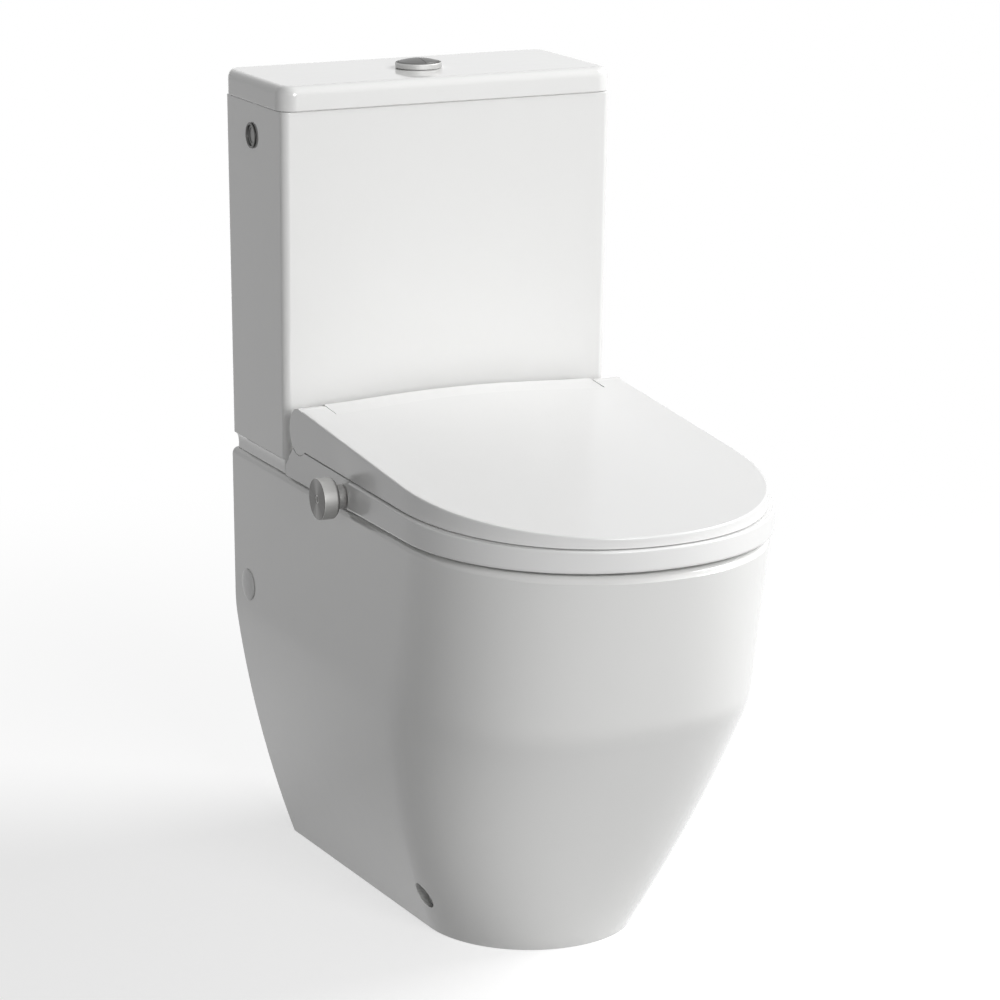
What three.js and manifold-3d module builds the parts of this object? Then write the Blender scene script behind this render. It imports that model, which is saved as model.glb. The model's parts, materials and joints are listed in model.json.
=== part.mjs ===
// Close-coupled shower toilet: china pan and cistern, washing seat, and the fittings inside.
// Millimetres, +Z up. It is drawn from the wall plane y = 0 with its front towards -Y and +X to the
// viewer's right. The finished group is moved so that the origin is at the middle of the footprint.
import * as THREE from "three";
import { mergeVertices } from "three/addons/utils/BufferGeometryUtils.js";
import Module from "manifold-3d";

const wasm = await Module();
wasm.setup();

// Counts of sides and steps
const fineSides = 28;
const roundSides = 20;
const smallSides = 12;
const bendSteps = 4;
const capSteps = 24;
const hiddenSteps = 12;
const humpSteps = 10;
const backSteps = 12;
const arcSteps = 14;
const wedgeSteps = 8;
const mirrored = [["left", -1], ["right", 1]];
const degreeShare = Math.PI / 180;
const quarterShare = Math.PI / 2;
const edgeTurns = [1 / 3, 2 / 3, 1].map((share) => share * quarterShare);

// Clearances and cutters, shared by all pieces
const seatGap = 0.3;
const runGap = 0.5;
const overrun = 4;
const wallSpan = 260;

// Pan: plan outlines at the floor, at the crease and at the rim, measured forward from the wall
const panFoot = { rear: 114.5, side: 105.5, straight: 330, front: 444, powerShare: 2.05 };
const panCrease = { height: 260.5, rear: 177.2, side: 177, straight: 384.2, front: 598.9,
  powerShare: 2.47 };
const panRim = { height: 427.8, rear: 178, side: 178, straight: 448.3, front: 643.5, powerShare: 2.07 };
const sideBulgeShare = 0.196;
const frontBulgeShare = -0.1;
const pan = { wall: 12, deck: 26, edge: 7, bayDeep: 31.8, bayHalf: 46, bayBack: 172, bayFront: 262 };
pan.bayFloor = panRim.height - pan.bayDeep;
const levelShares = [0, 0.15, 0.35, 0.55, 0.75, 1];

// Bowl: opening in the rim, and shares of its width and length down to the sump
const bowl = { half: 122, back: 228, front: 590, floor: 112, wall: 11, powerShare: 2.2, sumpLine: 378 };
const bowlShares = [[0, 0.2, 0.16], [0.04, 0.32, 0.24], [0.13, 0.4, 0.31], [0.3, 0.52, 0.46],
  [0.48, 0.72, 0.7], [0.7, 0.91, 0.9], [0.88, 0.99, 0.99], [1, 1, 1]];

// Trap and flush inlet: round passages through the pan, in the middle plane
const trap = { bore: 36, wall: 11, start: 158, slopeShare: 55 * degreeShare, lowBend: 70, topBend: 62,
  endBend: 60,
  weir: 280, outlet: 180, end: 95, run: 24, collar: 51, collarLength: 28 };
const inlet = { bore: 24, wall: 10, line: 75, bend: 46, drop: 73.8 };

inlet.level = panRim.height - inlet.drop;

// Waste connector: a sleeve over the pan's spigot, sealed by a rubber ring, with a pipe to the wall
const waste = { sleeve: 60, sleeveWall: 4, sleeveLong: 50, overlap: 26, pipe: 55, pipeWall: 5, sealGap: 4,
  sealLong: 16 };

// Holes of the pan's fixings
const seatBolt = { x: 77.5, line: 205, bore: 7, rod: 4, head: 8, headHigh: 4, nut: 12, nutHigh: 10,
  tip: 8 };
const tankBolt = { x: 80, line: 78, bore: 7, rod: 4, head: 9, headHigh: 5, washer: 14, washerHigh: 3,
  wing: 16, wingHigh: 10 };
const floorFixing = { line: 364, height: 46, bore: 13, capIn: 11, capThick: 2.5, sleeve: 8, rod: 3,
  bracketOut: 81.5, bracketThick: 4, bracketLong: 40, bracketHigh: 66, bracketHalf: 14, footBore: 4 };
const sideCap = { line: 38, height: 289, bore: 8, radius: 16.5, dome: 2.4, stem: 7.6, stemLength: 15 };

// Cistern: the tank narrows a little downwards and stands on a foot set in behind a groove
const tank = { half: 180, depth: 155.7, lowHalf: 178.1, lowDepth: 146, corner: 8, wall: 10, floorThick: 24,
  footInset: 4.6, footHigh: 6, grooveHigh: 11, rise: 368.2, recess: 47, recessDeep: 14 };
tank.foot = panRim.height + seatGap;
tank.grooveFoot = tank.foot + tank.footHigh;
tank.grooveTop = tank.grooveFoot + tank.grooveHigh;
tank.floor = tank.foot + tank.floorThick;
tank.top = tank.foot + tank.rise;
const cover = { overhang: 1.5, edge: 9, height: 24.8, crown: 12, lipWall: 5, lipDeep: 8 };
cover.foot = tank.top + seatGap;
cover.top = cover.foot + cover.height;

// Flush button in the cover: a bezel round two half-round buttons with their rods
const button = { radius: 23.5, band: 6, bevel: 1, shank: 21.6, wall: 1.4, line: 79, below: 22, floor: 3,
  thick: 4, sunk: 0.6, dome: 4, rod: 3, rodApart: 16, restGap: 9 };
const domeShares = [0.85, 0.6, 0.3];

// Flush valve, standing in the tank floor over the pan's inlet
const valve = { line: 75, spigot: 23.5, bore: 19.5, flange: 36, flangeHigh: 6, lipHigh: 4, lipRadius: 22.5,
  spigotGap: 1, nut: 40, nutHigh: 7.7, cage: 34, cageWall: 3, cageHigh: 62, window: 20, windowHigh: 34,
  neck: 15, neckWall: 3, head: 22, headHigh: 10, height: 250, tube: 10, tubeWall: 2, tubeShort: 20,
  plate: 24, plateHigh: 3, seal: 26, sealHigh: 3.5 };
valve.headTop = tank.floor + valve.height;

// Fill valve on the right: its port and shank go out through the tank's side
const filler = { x: 120, line: 73, drop: 33.3, column: 11, columnBore: 6, columnLong: 263, head: 14,
  headHigh: 26,
  shank: 8.5, shankBore: 5, shankOut: 24, washer: 13, washerThick: 4, nut: 15, nutThick: 9,
  cup: 28, cupDown: 203, cupHigh: 70, cupWall: 2.5, rod: 2, rodOut: 20, leverLong: 40, leverThick: 4,
  leverHalf: 4, leverTail: 7, cheek: 3, cheekHigh: 14, pin: 2 };
filler.height = tank.top - filler.drop;
filler.leverFoot = filler.height + filler.headHigh / 2 + filler.leverThick;

// Round plug in the tank's left side, level with the water inlet opposite
const plug = { radius: 13, ring: 3.2, proud: 1.8, discDeep: 0.9, shank: 7.7, shankLong: 21, hole: 8,
  nut: 13, nutThick: 7 };

// Washing seat: the hinge line carries the lid's ears and the ring's arms
const hinge = { line: 182, rise: 53.2, ear: 23.3, barrel: 13, pin: 4, pinLong: 36, hump: 33, humpBack: 14,
  humpRound: 8, humpHalf: 147.8, armWide: 12.5, armThick: 12, sideGap: 1 };
hinge.height = panRim.height + hinge.rise;
hinge.armIn = hinge.humpHalf + hinge.sideGap;
hinge.armOut = hinge.armIn + hinge.armWide;
hinge.earIn = hinge.armOut + hinge.sideGap;
const seatPlate = { half: 134, back: 155, front: 228, thick: 3, notchHalf: 48, notchBack: 174 };
seatPlate.foot = panRim.height + seatGap;
seatPlate.top = seatPlate.foot + seatPlate.thick;
const housing = { half: 178.5, back: 148.2, front: 238, lift: 2.2, wall: 3.5, cheekFront: 314,
  cheekWide: 15.2, shoulderRise: 12.2, tip: 169, beam: 10, ribLine: 102, ribThick: 4, hoodBack: 200,
  hoodRise: 32.2, seam: 0.8 };
housing.foot = panRim.height + housing.lift;
housing.shoulder = panRim.height + housing.shoulderRise;
housing.hoodTop = panRim.height + housing.hoodRise;

// Lid: the parting line under it rises towards the hinge, and so does its top, which is crowned at the back
const lid = { rear: 178, side: 178, straight: 430, front: 639, powerShare: 2.15, noseRise: 35.8,
  hingeRise: 76.5,
  edge: 2, wall: 4, crown: 5 };
lid.noseTop = panRim.height + lid.noseRise;
lid.hingeTop = panRim.height + lid.hingeRise;
const parting = { rise: 25.5, line: 643, slopeShare: 0.022 };
parting.nose = panRim.height + parting.rise;
const crownShares = [0.94, 0.72, 0.4];
const crownPowerShare = 1.5;

// Directions about the hinge line: where the strip's front ends, and round the room for the ring's arms
const humpEndShare = 225 * degreeShare;
const armShares = [168 * degreeShare, 342 * degreeShare];

// Ring: as wide as the lid in front of the cheeks, narrower between them
const ring = { rear: 182, side: 182, straight: 448.3, front: 643, powerShare: 2.1, back: 317, lift: 3.5,
  neckHalf: 162.5, neckBack: 241, edge: 3, topEdge: 2, holeHalf: 105, holeBack: 290, holeFront: 570,
    holePowerShare: 2.2 };
ring.foot = panRim.height + ring.lift;
const buffer = { radius: 8, backX: 150, backLine: 360, frontX: 75, frontLine: 592, lidX: 120,
  lidLineShare: 0.622,
  lidRadius: 6 };
buffer.lidLine = lid.straight + buffer.lidLineShare * (lid.front - lid.straight);

// Wands in their holder, sloping down to the front under the housing
const wand = { x: 13, radius: 6.8, bore: 4, line: 224, drop: 5.8, slopeShare: 30 * degreeShare,
  back: 54, front: 25,
  holderHalf: 27, holderBack: 50, holderFront: 14, holderThick: 11, wingHalf: 62, wingHigh: 3,
    wingBack: 180,
  wingFront: 200, windowHigh: 15, notch: 2 };
wand.height = panRim.height - wand.drop;

// Knob on the left cheek, and the valve behind it; the supply connector sits on the right cheek
const knob = { line: 296, rise: 13.2, radius: 20.5, bevel: 1.2, face: 206, back: 188.5, collar: 12,
  spindle: 3, spindleEnd: 171, backBevel: 3, mark: 1.6, markDeep: 0.6 };
knob.height = panRim.height + knob.rise;
const selector = { back: 262, front: 310, low: 1.5, high: 22 };
const connector = { line: 262, rise: 16.2, radius: 7, bore: 4, out: 14, flange: 10, flangeThick: 3 };
connector.height = panRim.height + connector.rise;

// Materials
const china = { color: 0xf3f3f1, roughness: 0.12, metalness: 0 };
const whitePlastic = { color: 0xf5f5f3, roughness: 0.28, metalness: 0 };
const greyPlastic = { color: 0x9a9da0, roughness: 0.45, metalness: 0 };
const bluePlastic = { color: 0x5f7f99, roughness: 0.45, metalness: 0 };
const chrome = { color: 0xd8d9da, roughness: 0.1, metalness: 1 };
const satinMetal = { color: 0xb9b9b7, roughness: 0.32, metalness: 1 };
const brass = { color: 0xb89a55, roughness: 0.35, metalness: 1 };
const rubber = { color: 0x2c2c2d, roughness: 0.85, metalness: 0 };
const paleRubber = { color: 0xd9d9d4, roughness: 0.75, metalness: 0 };

const assembly = new THREE.Group();

// A closed geometry as a solid for joining and cutting
function solid(geometry) {
  geometry.deleteAttribute("normal");
  geometry.deleteAttribute("uv");
  const merged = mergeVertices(geometry);
  return new wasm.Manifold(new wasm.Mesh({
    numProp: 3,
    vertProperties: new Float32Array(merged.attributes.position.array),
    triVerts: new Uint32Array(merged.index.array),
  }));
}

// A finished solid as a named mesh of the object
function place(name, body, look, parent = assembly) {
  const data = body.getMesh();
  const geometry = new THREE.BufferGeometry();
  geometry.setAttribute("position", new THREE.BufferAttribute(new Float32Array(data.vertProperties), 3));
  geometry.setIndex(new THREE.BufferAttribute(new Uint32Array(data.triVerts), 1));
  geometry.computeVertexNormals();
  const mesh = new THREE.Mesh(geometry, new THREE.MeshStandardMaterial(look));
  mesh.name = name;
  parent.add(mesh);
  return mesh;
}

// Joins any number of solids
function joined(...solids) {
  return solids.reduce((whole, next) => whole.add(next));
}

// Cuts any number of solids from the first
function cut(body, ...cutters) {
  return cutters.reduce((rest, cutter) => rest.subtract(cutter), body);
}

// A box between two corners
function block(x0, x1, y0, y1, z0, z1) {
  const geometry = new THREE.BoxGeometry(x1 - x0, y1 - y0, z1 - z0);
  geometry.translate((x0 + x1) / 2, (y0 + y1) / 2, (z0 + z1) / 2);
  return solid(geometry);
}

// A round bar along Z, X or Y from one place to another
function barZ(x, y, z0, z1, radius, sides = roundSides, topRadius = radius) {
  const geometry = new THREE.CylinderGeometry(topRadius, radius, z1 - z0, sides);
  geometry.rotateX(Math.PI / 2);
  geometry.translate(x, y, (z0 + z1) / 2);
  return solid(geometry);
}

function barX(y, z, x0, x1, radius, sides = roundSides) {
  const geometry = new THREE.CylinderGeometry(radius, radius, x1 - x0, sides);
  geometry.rotateZ(-Math.PI / 2);
  geometry.translate((x0 + x1) / 2, y, z);
  return solid(geometry);
}

function barY(x, z, y0, y1, radius, sides = roundSides) {
  const geometry = new THREE.CylinderGeometry(radius, radius, y1 - y0, sides);
  geometry.translate(x, (y0 + y1) / 2, z);
  return solid(geometry);
}

// A turned piece: profile points are [radius, height], closed on themselves or ending on the axis
function turned(profile, sides = roundSides) {
  const points = profile.map(([radius, height]) => new THREE.Vector2(radius, height));
  const closed = profile[0][0] === 0 ? points : [...points, points[0].clone()];
  const geometry = new THREE.LatheGeometry(closed, sides);
  geometry.rotateX(Math.PI / 2);
  return solid(geometry);
}

// A tube of rings joined one after another, closed by a fan at each end
function loft(rings, footPoint = middleOf(rings[0]), headPoint = middleOf(rings[rings.length - 1])) {
  const sides = rings[0].length;
  const points = [...rings.flat(), footPoint, headPoint];
  const foot = points.length - 2;
  const head = points.length - 1;
  const last = foot - sides;
  const faces = [];
  for (let side = 0; side < sides; side++) {
    const next = (side + 1) % sides;
    for (let low = 0; low < last; low += sides) {
      const high = low + sides;
      faces.push(low + side, low + next, high + next);
      faces.push(low + side, high + next, high + side);
    }
    faces.push(foot, next, side);
    faces.push(head, last + side, last + next);
  }
  const geometry = new THREE.BufferGeometry();
  geometry.setAttribute("position", new THREE.Float32BufferAttribute(points.flat(), 3));
  geometry.setIndex(faces);
  return solid(geometry);
}

function middleOf(ring) {
  const sum = ring.reduce((total, point) => total.map((value, axis) => value + point[axis]), [0, 0, 0]);
  return sum.map((value) => value / ring.length);
}

// A flat outline of [y, z] points, extruded along X
function slabX(outline, x0, x1) {
  const shape = new THREE.Shape(outline.map(([y, z]) => new THREE.Vector2(y, z)));
  const geometry = new THREE.ExtrudeGeometry(shape, { depth: x1 - x0, bevelEnabled: false });
  geometry.rotateX(Math.PI / 2);
  geometry.rotateZ(Math.PI / 2);
  geometry.translate(x0, 0, 0);
  return solid(geometry);
}

// The way of a pipe in the middle plane: straight runs and bends, each after the other
function route(y, z, moves) {
  const points = [[y, z]];
  let heading = 0;
  for (const { run = 0, turn = 0, radius = 0 } of moves) {
    const steps = turn ? Math.ceil(bendSteps * Math.abs(turn) / quarterShare) : 1;
    for (let step = 0; step < steps; step++) {
      const half = turn / steps / 2;
      const length = turn ? 2 * radius * Math.sin(Math.abs(half)) : run;
      heading += half;
      const [fromY, fromZ] = points[points.length - 1];
      points.push([fromY + length * Math.cos(heading), fromZ + length * Math.sin(heading)]);
      heading += half;
    }
  }
  return points;
}

// A round pipe along such a way
function pipe(way, radius, sides = roundSides) {
  const rings = way.map(([y, z], index) => {
    const before = way[Math.max(index - 1, 0)];
    const after = way[Math.min(index + 1, way.length - 1)];
    const lean = Math.atan2(after[1] - before[1], after[0] - before[0]);
    return Array.from({ length: sides }, (_, side) => {
      const turn = 2 * Math.PI * side / sides;
      const out = radius * Math.cos(turn);
      return [radius * Math.sin(turn), y - out * Math.sin(lean), z + out * Math.cos(lean)];
    });
  });
  return loft(rings);
}

// A plan outline: straight sides from the back, then a rounded front, drawn left to right
function planRing(plan, inset, back, heightAt, steps = capSteps) {
  const side = plan.side - inset;
  const rear = plan.rear - inset;
  const nose = plan.front - inset - plan.straight;
  const half = (rear + side) / 2;
  const midway = (back - plan.straight) / 2;
  const ring = [[-rear, back], [-half, midway]];
  for (let step = 0; step <= steps; step++) {
    const turn = Math.PI * (step / steps - 1 / 2);
    const wide = Math.sign(turn) * Math.abs(Math.sin(turn)) ** (2 / plan.powerShare);
    const deep = Math.max(Math.cos(turn), 0) ** (2 / plan.powerShare);
    ring.push([side * wide, -plan.straight - nose * deep]);
  }
  ring.push([half, midway], [rear, back]);
  return ring.map(([x, y]) => [x, y, heightAt(x, y)]);
}

// An oval of the same kind
function ovalRing(half, length, centre, power, z, sides = fineSides) {
  return Array.from({ length: sides }, (_, index) => {
    const turn = 2 * Math.PI * index / sides;
    const wide = Math.sign(Math.cos(turn)) * Math.abs(Math.cos(turn)) ** (2 / power);
    const deep = Math.sign(Math.sin(turn)) * Math.abs(Math.sin(turn)) ** (2 / power);
    return [half * wide, centre + length * deep, z];
  });
}

function mixed(from, to, share) {
  return from + (to - from) * share;
}

// The pan's plan outline at a height
function panPlan(z) {
  if (z >= panCrease.height) {
    const share = (z - panCrease.height) / (panRim.height - panCrease.height);
    return Object.fromEntries(Object.keys(panFoot).map((key) => [key, mixed(panCrease[key],
      panRim[key], share)]));
  }
  const share = z / panCrease.height;
  const bulge = 4 * share * (1 - share);
  const sideShare = share + bulge * sideBulgeShare;
  const frontShare = share + bulge * frontBulgeShare;
  return {
    rear: mixed(panFoot.rear, panCrease.rear, sideShare),
    side: mixed(panFoot.side, panCrease.side, sideShare),
    straight: mixed(panFoot.straight, panCrease.straight, sideShare),
    front: mixed(panFoot.front, panCrease.front, frontShare),
    powerShare: mixed(panFoot.powerShare, panCrease.powerShare, share),
  };
}

function panHeights(top) {
  const lower = levelShares.map((share) => share * panCrease.height);
  return [...lower, mixed(panCrease.height, top, 1 / 2), top];
}

function panBody() {
  const straightTop = panRim.height - pan.edge;
  const rings = panHeights(straightTop).map((z) => planRing(panPlan(z), 0, 0, () => z));
  for (const turn of edgeTurns) {
    const z = straightTop + pan.edge * Math.sin(turn);
    rings.push(planRing(panPlan(z), pan.edge * (1 - Math.cos(turn)), 0, () => z));
  }
  return loft(rings);
}

// The room inside the skirt and under the deck, or a gap smaller all round
function skirtRoom(gap) {
  const ring = (plan, z) => planRing(plan, pan.wall + gap, overrun, () => z, hiddenSteps);
  const rings = panHeights(panRim.height - pan.deck - gap).map((z) => ring(panPlan(z), z));
  return loft([ring(panPlan(0), -overrun), ...rings]);
}

// The bowl's inside or, with its wall added, its outside
function bowlBody(wall, top) {
  const rimCentre = -(bowl.back + bowl.front) / 2;
  const rimLength = (bowl.front - bowl.back) / 2;
  const rings = bowlShares.map(([heightShare, halfShare, lengthShare]) => {
    const centre = mixed(-bowl.sumpLine, rimCentre, heightShare);
    const z = mixed(bowl.floor - wall, top, heightShare);
    return ovalRing(bowl.half * halfShare + wall, rimLength * lengthShare + wall, centre,
      bowl.powerShare, z,
      wall ? roundSides : fineSides);
  });
  return loft(rings);
}

function trapWay(extra) {
  const rise = (radius) => radius * (1 - Math.cos(trap.slopeShare));
  const up = (trap.weir - trap.start - rise(trap.lowBend) - rise(trap.topBend)) / Math.sin(trap.slopeShare);
  const bends = rise(trap.topBend) + rise(trap.endBend);
  const down = (trap.weir - trap.outlet - bends) / Math.sin(trap.slopeShare);
  const across = (trap.lowBend + 2 * trap.topBend + trap.endBend) * Math.sin(trap.slopeShare);
  const length = across + (up + down) * Math.cos(trap.slopeShare) + trap.run;
  return route(-trap.end - length, trap.start, [
    { turn: trap.slopeShare, radius: trap.lowBend }, { run: up },
    { turn: -2 * trap.slopeShare, radius: trap.topBend }, { run: down },
    { turn: trap.slopeShare, radius: trap.endBend }, { run: trap.run + extra },
  ]);
}

// From the bowl's back wall to the hole in the deck under the tank
function inletWay(extra) {
  const bowlBack = -bowl.back - bowl.wall;
  const runBack = -inlet.line - inlet.bend - bowlBack;
  const riseTop = panRim.height - inlet.level - inlet.bend;
  return route(bowlBack - extra, inlet.level, [
    { run: runBack + extra }, { turn: quarterShare, radius: inlet.bend }, { run: riseTop + extra },
  ]);
}

// The skirt and its deck, with the opening over the bowl
function makePan() {
  const top = panRim.height;
  let body = cut(panBody(), skirtRoom(0), bowlBody(0, top + overrun), bayCut(),
    pipe(inletWay(overrun), inlet.bore));
  for (const [, side] of mirrored) {
    const bolts = [seatBolt, tankBolt].map(({ x, line, bore }) =>
      barZ(side * x, -line, top - pan.deck - overrun, top + overrun, bore, smallSides));
    const floorHole = barX(-floorFixing.line, floorFixing.height, side > 0 ? bowl.half / 2 : -wallSpan,
      side > 0 ? wallSpan : -bowl.half / 2, floorFixing.bore, roundSides);
    const sideHole = barX(-sideCap.line, sideCap.height, side > 0 ? bowl.half : -wallSpan,
      side > 0 ? wallSpan : -bowl.half, sideCap.bore, smallSides);
    body = cut(body, ...bolts, floorHole, sideHole);
  }
  place("pan", body, china);
}

// The recess for the wands behind the bowl
function bayCut() {
  return block(-pan.bayHalf, pan.bayHalf, -pan.bayFront, -pan.bayBack, pan.bayFloor,
    panRim.height + overrun);
}

// The bowl hangs under the deck, with the recess and the flush inlet behind it
function makeBowl() {
  const top = panRim.height;
  const bay = block(-pan.bayHalf - pan.wall, pan.bayHalf + pan.wall, -pan.bayFront, -pan.bayBack + pan.wall,
    pan.bayFloor - pan.wall, top - pan.wall);
  const inletPipe = cut(pipe(inletWay(-pan.edge), inlet.bore + inlet.wall),
    pipe(trapWay(0), trap.bore + trap.wall + seatGap));
  const body = joined(bowlBody(bowl.wall, top - pan.wall), bay, inletPipe).intersect(skirtRoom(seatGap));
  place("pan_bowl", cut(body, bowlBody(0, top + overrun), bayCut(), pipe(trapWay(overrun), trap.bore),
    pipe(inletWay(overrun), inlet.bore)), china);
}

// The trap starts at the bowl's wall and ends in a collar for the waste connector
function makeTrap() {
  const collar = barY(0, trap.outlet, -trap.end - trap.collarLength, -trap.end, trap.collar, fineSides);
  const body = collar.add(pipe(trapWay(0), trap.bore + trap.wall));
  place("pan_trap", cut(body, bowlBody(bowl.wall + seatGap, panRim.height - pan.wall),
    pipe(trapWay(overrun), trap.bore)), china);
}

// A rounded rectangle from the wall plane to the front, at one height
function boxRing(half, front, back, corner, z) {
  const ring = [];
  for (const [sideX, sideY, quarters] of [[-1, 1, 1], [-1, -1, 2], [1, -1, 3], [1, 1, 0]]) {
    const centreX = sideX * (half - corner);
    const centreY = sideY > 0 ? back - corner : -front + corner;
    for (const part of [0, ...edgeTurns]) {
      const turn = quarters * quarterShare + part;
      ring.push([centreX + corner * Math.cos(turn), centreY + corner * Math.sin(turn), z]);
    }
  }
  return ring;
}

// The tank's plan at a height, drawn in by an inset on three sides; the back stays on the wall plane
function tankRing(z, inset, back = 0) {
  const share = (z - tank.grooveTop) / (tank.top - tank.grooveTop);
  const half = mixed(tank.lowHalf, tank.half, share) - inset;
  const front = mixed(tank.lowDepth, tank.depth, share) - inset;
  return boxRing(half, front, back, tank.corner, z);
}

function makeTank() {
  const foot = [tankRing(tank.foot, tank.footInset), tankRing(tank.grooveFoot, tank.footInset)];
  const round = edgeTurns.map((turn) => tankRing(
    mixed(tank.grooveFoot, tank.grooveTop, Math.sin(turn)), tank.footInset * Math.cos(turn)));
  const outside = loft([...foot, ...round, tankRing(tank.top, 0)]);
  const inside = loft([tankRing(tank.floor, tank.wall, -tank.wall),
    tankRing(tank.top + overrun, tank.wall, -tank.wall)]);
  const recess = barZ(0, -valve.line, tank.foot - overrun, tank.foot + tank.recessDeep, tank.recess);
  const outlet = barZ(0, -valve.line, tank.foot, tank.floor + overrun, valve.spigot + seatGap);
  const bolts = mirrored.map(([, side]) => barZ(side * tankBolt.x, -tankBolt.line, tank.foot - overrun,
    tank.floor + overrun, tankBolt.rod + seatGap, smallSides));
  const plugHole = barX(-filler.line, filler.height, -tank.half - overrun, -tank.half / 2, plug.hole,
    smallSides);
  const inletHole = barX(-filler.line, filler.height, tank.half / 2, tank.half + overrun,
    filler.shank + seatGap);
  place("cistern_tank", cut(outside, inside, recess, outlet, ...bolts, plugHole, inletHole), china);
}

function coverRing(z, inset) {
  const half = tank.half + cover.overhang - inset;
  return boxRing(half, tank.depth + cover.overhang - inset, 0, tank.corner + cover.edge - inset, z);
}

function makeCover() {
  const arcs = [0, ...edgeTurns].map((turn) => coverRing(
    cover.top - cover.edge * (1 - Math.sin(turn)), cover.edge * (1 - Math.cos(turn))));
  const outside = loft([coverRing(cover.foot, 0), ...arcs]);
  const lipInset = tank.wall + runGap;
  const lipInner = lipInset + cover.lipWall;
  const lipFoot = cover.foot - cover.lipDeep;
  const ceiling = cover.top - cover.crown;
  const lip = loft([tankRing(lipFoot, lipInset, -lipInset), tankRing(ceiling, lipInset, -lipInset)]);
  const hollow = loft([tankRing(lipFoot - overrun, lipInner, -lipInner), tankRing(ceiling, lipInner,
    -lipInner)]);
  const hole = barZ(0, -button.line, cover.foot, cover.top + overrun, button.shank + seatGap, fineSides);
  place("cistern_lid", cut(outside.add(lip), hollow, hole), china);
}

// The tank's half width outside, at a height
function tankHalf(z) {
  return mixed(tank.lowHalf, tank.half, (z - tank.grooveTop) / (tank.top - tank.grooveTop));
}

function makeButton() {
  const foot = cover.top + seatGap;
  const top = foot + button.band;
  const well = button.shank - button.wall;
  const floor = foot - button.below;
  const bezel = turned([[0, floor], [button.shank, floor], [button.shank, foot], [button.radius, foot],
    [button.radius, top - button.bevel], [button.radius - button.bevel, top], [well, top],
    [well, floor + button.floor], [0, floor + button.floor]], fineSides).translate([0, -button.line, 0]);
  const rodHoles = mirrored.map(([, side]) => barZ(side * button.rodApart, -button.line, floor - overrun,
    floor + button.floor + overrun, button.rod + seatGap, smallSides));
  place("button_bezel", cut(bezel, ...rodHoles), satinMetal);
  const plateTop = top - button.sunk;
  const plateFoot = plateTop - button.thick;
  const rodFoot = valve.headTop + button.restGap;
  for (const [name, side] of [["half_flush_button", -1], ["full_flush_button", 1]]) {
    const reach = well - seatGap;
    const dome = domeShares.map((share) => [reach * share, plateTop + button.dome * (1 - share ** 2)]);
    const disc = turned([[0, plateFoot], [reach, plateFoot], [reach, plateTop], ...dome,
      [0, plateTop + button.dome]], fineSides).translate([0, -button.line, 0]);
    const edges = [side * seatGap / 2, side * wallSpan].sort((a, b) => a - b);
    const half = disc.intersect(block(...edges, -wallSpan, 0, plateFoot - overrun,
      plateTop + button.dome + overrun));
    const rod = barZ(side * button.rodApart, -button.line, rodFoot, plateTop - button.thick / 2,
      button.rod, smallSides);
    place(name, half.add(rod), satinMetal);
  }
}

function makeFlushValve() {
  const spigotFoot = tank.foot + valve.spigotGap;
  const flangeFoot = tank.floor + seatGap;
  const flangeTop = flangeFoot + valve.flangeHigh;
  const lipTop = flangeTop + valve.lipHigh;
  const standing = (profile, sides) => turned(profile, sides).translate([0, -valve.line, 0]);
  place("flush_valve_base", standing([[valve.bore, spigotFoot], [valve.spigot, spigotFoot],
    [valve.spigot, flangeFoot], [valve.flange, flangeFoot], [valve.flange, flangeTop],
    [valve.lipRadius, flangeTop], [valve.lipRadius, lipTop], [valve.bore, lipTop]]), whitePlastic);
  const recessTop = tank.foot + tank.recessDeep - seatGap;
  const nutFoot = recessTop - valve.nutHigh;
  const ringIn = valve.spigot + seatGap;
  place("flush_valve_nut", standing([[ringIn, nutFoot], [valve.nut, nutFoot], [valve.nut, recessTop],
    [ringIn, recessTop]]), greyPlastic);
  const gasketOut = tank.recess - seatGap;
  place("cistern_gasket", standing([[ringIn, tank.foot], [gasketOut, tank.foot], [gasketOut, recessTop],
    [valve.nut + seatGap, recessTop], [valve.nut + seatGap, nutFoot - seatGap], [ringIn,
      nutFoot - seatGap]]), rubber);
  makeTower(flangeTop + seatGap, standing);
  const sealFoot = lipTop + seatGap;
  const plateFoot = sealFoot + valve.sealHigh + seatGap;
  const plateTop = plateFoot + valve.plateHigh;
  const hollow = valve.tube - valve.tubeWall;
  const tubeTop = valve.headTop - valve.tubeShort;
  place("flush_valve_seal", standing([[hollow, sealFoot], [valve.seal, sealFoot],
    [valve.seal, sealFoot + valve.sealHigh], [hollow, sealFoot + valve.sealHigh]]), rubber);
  place("flush_valve_tube", standing([[hollow, plateFoot], [valve.plate, plateFoot], [valve.plate,
    plateTop],
    [valve.tube, plateTop], [valve.tube, tubeTop], [hollow, tubeTop]], smallSides), bluePlastic);
}

// A cage with four windows, a neck round the tube and a head under the button rods
function makeTower(foot, standing) {
  const cageTop = foot + valve.cageHigh;
  const neckBore = valve.neck - valve.neckWall;
  const headFoot = valve.headTop - valve.headHigh;
  const cageIn = valve.cage - valve.cageWall;
  const tower = standing([[cageIn, foot], [valve.cage, foot], [valve.cage, cageTop], [valve.neck, cageTop],
    [valve.neck, headFoot], [valve.head, headFoot], [valve.head, valve.headTop], [neckBore, valve.headTop],
    [neckBore, cageTop - valve.cageWall], [cageIn, cageTop - valve.cageWall]]);
  const sill = foot + (valve.cageHigh - valve.windowHigh) / 2;
  const half = valve.window / 2;
  const reach = valve.cage + overrun;
  place("flush_valve_tower", cut(tower,
    block(-half, half, -valve.line - reach, -valve.line + reach, sill, sill + valve.windowHigh),
    block(-reach, reach, -valve.line - half, -valve.line + half, sill, sill + valve.windowHigh)),
      whitePlastic);
}

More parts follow.
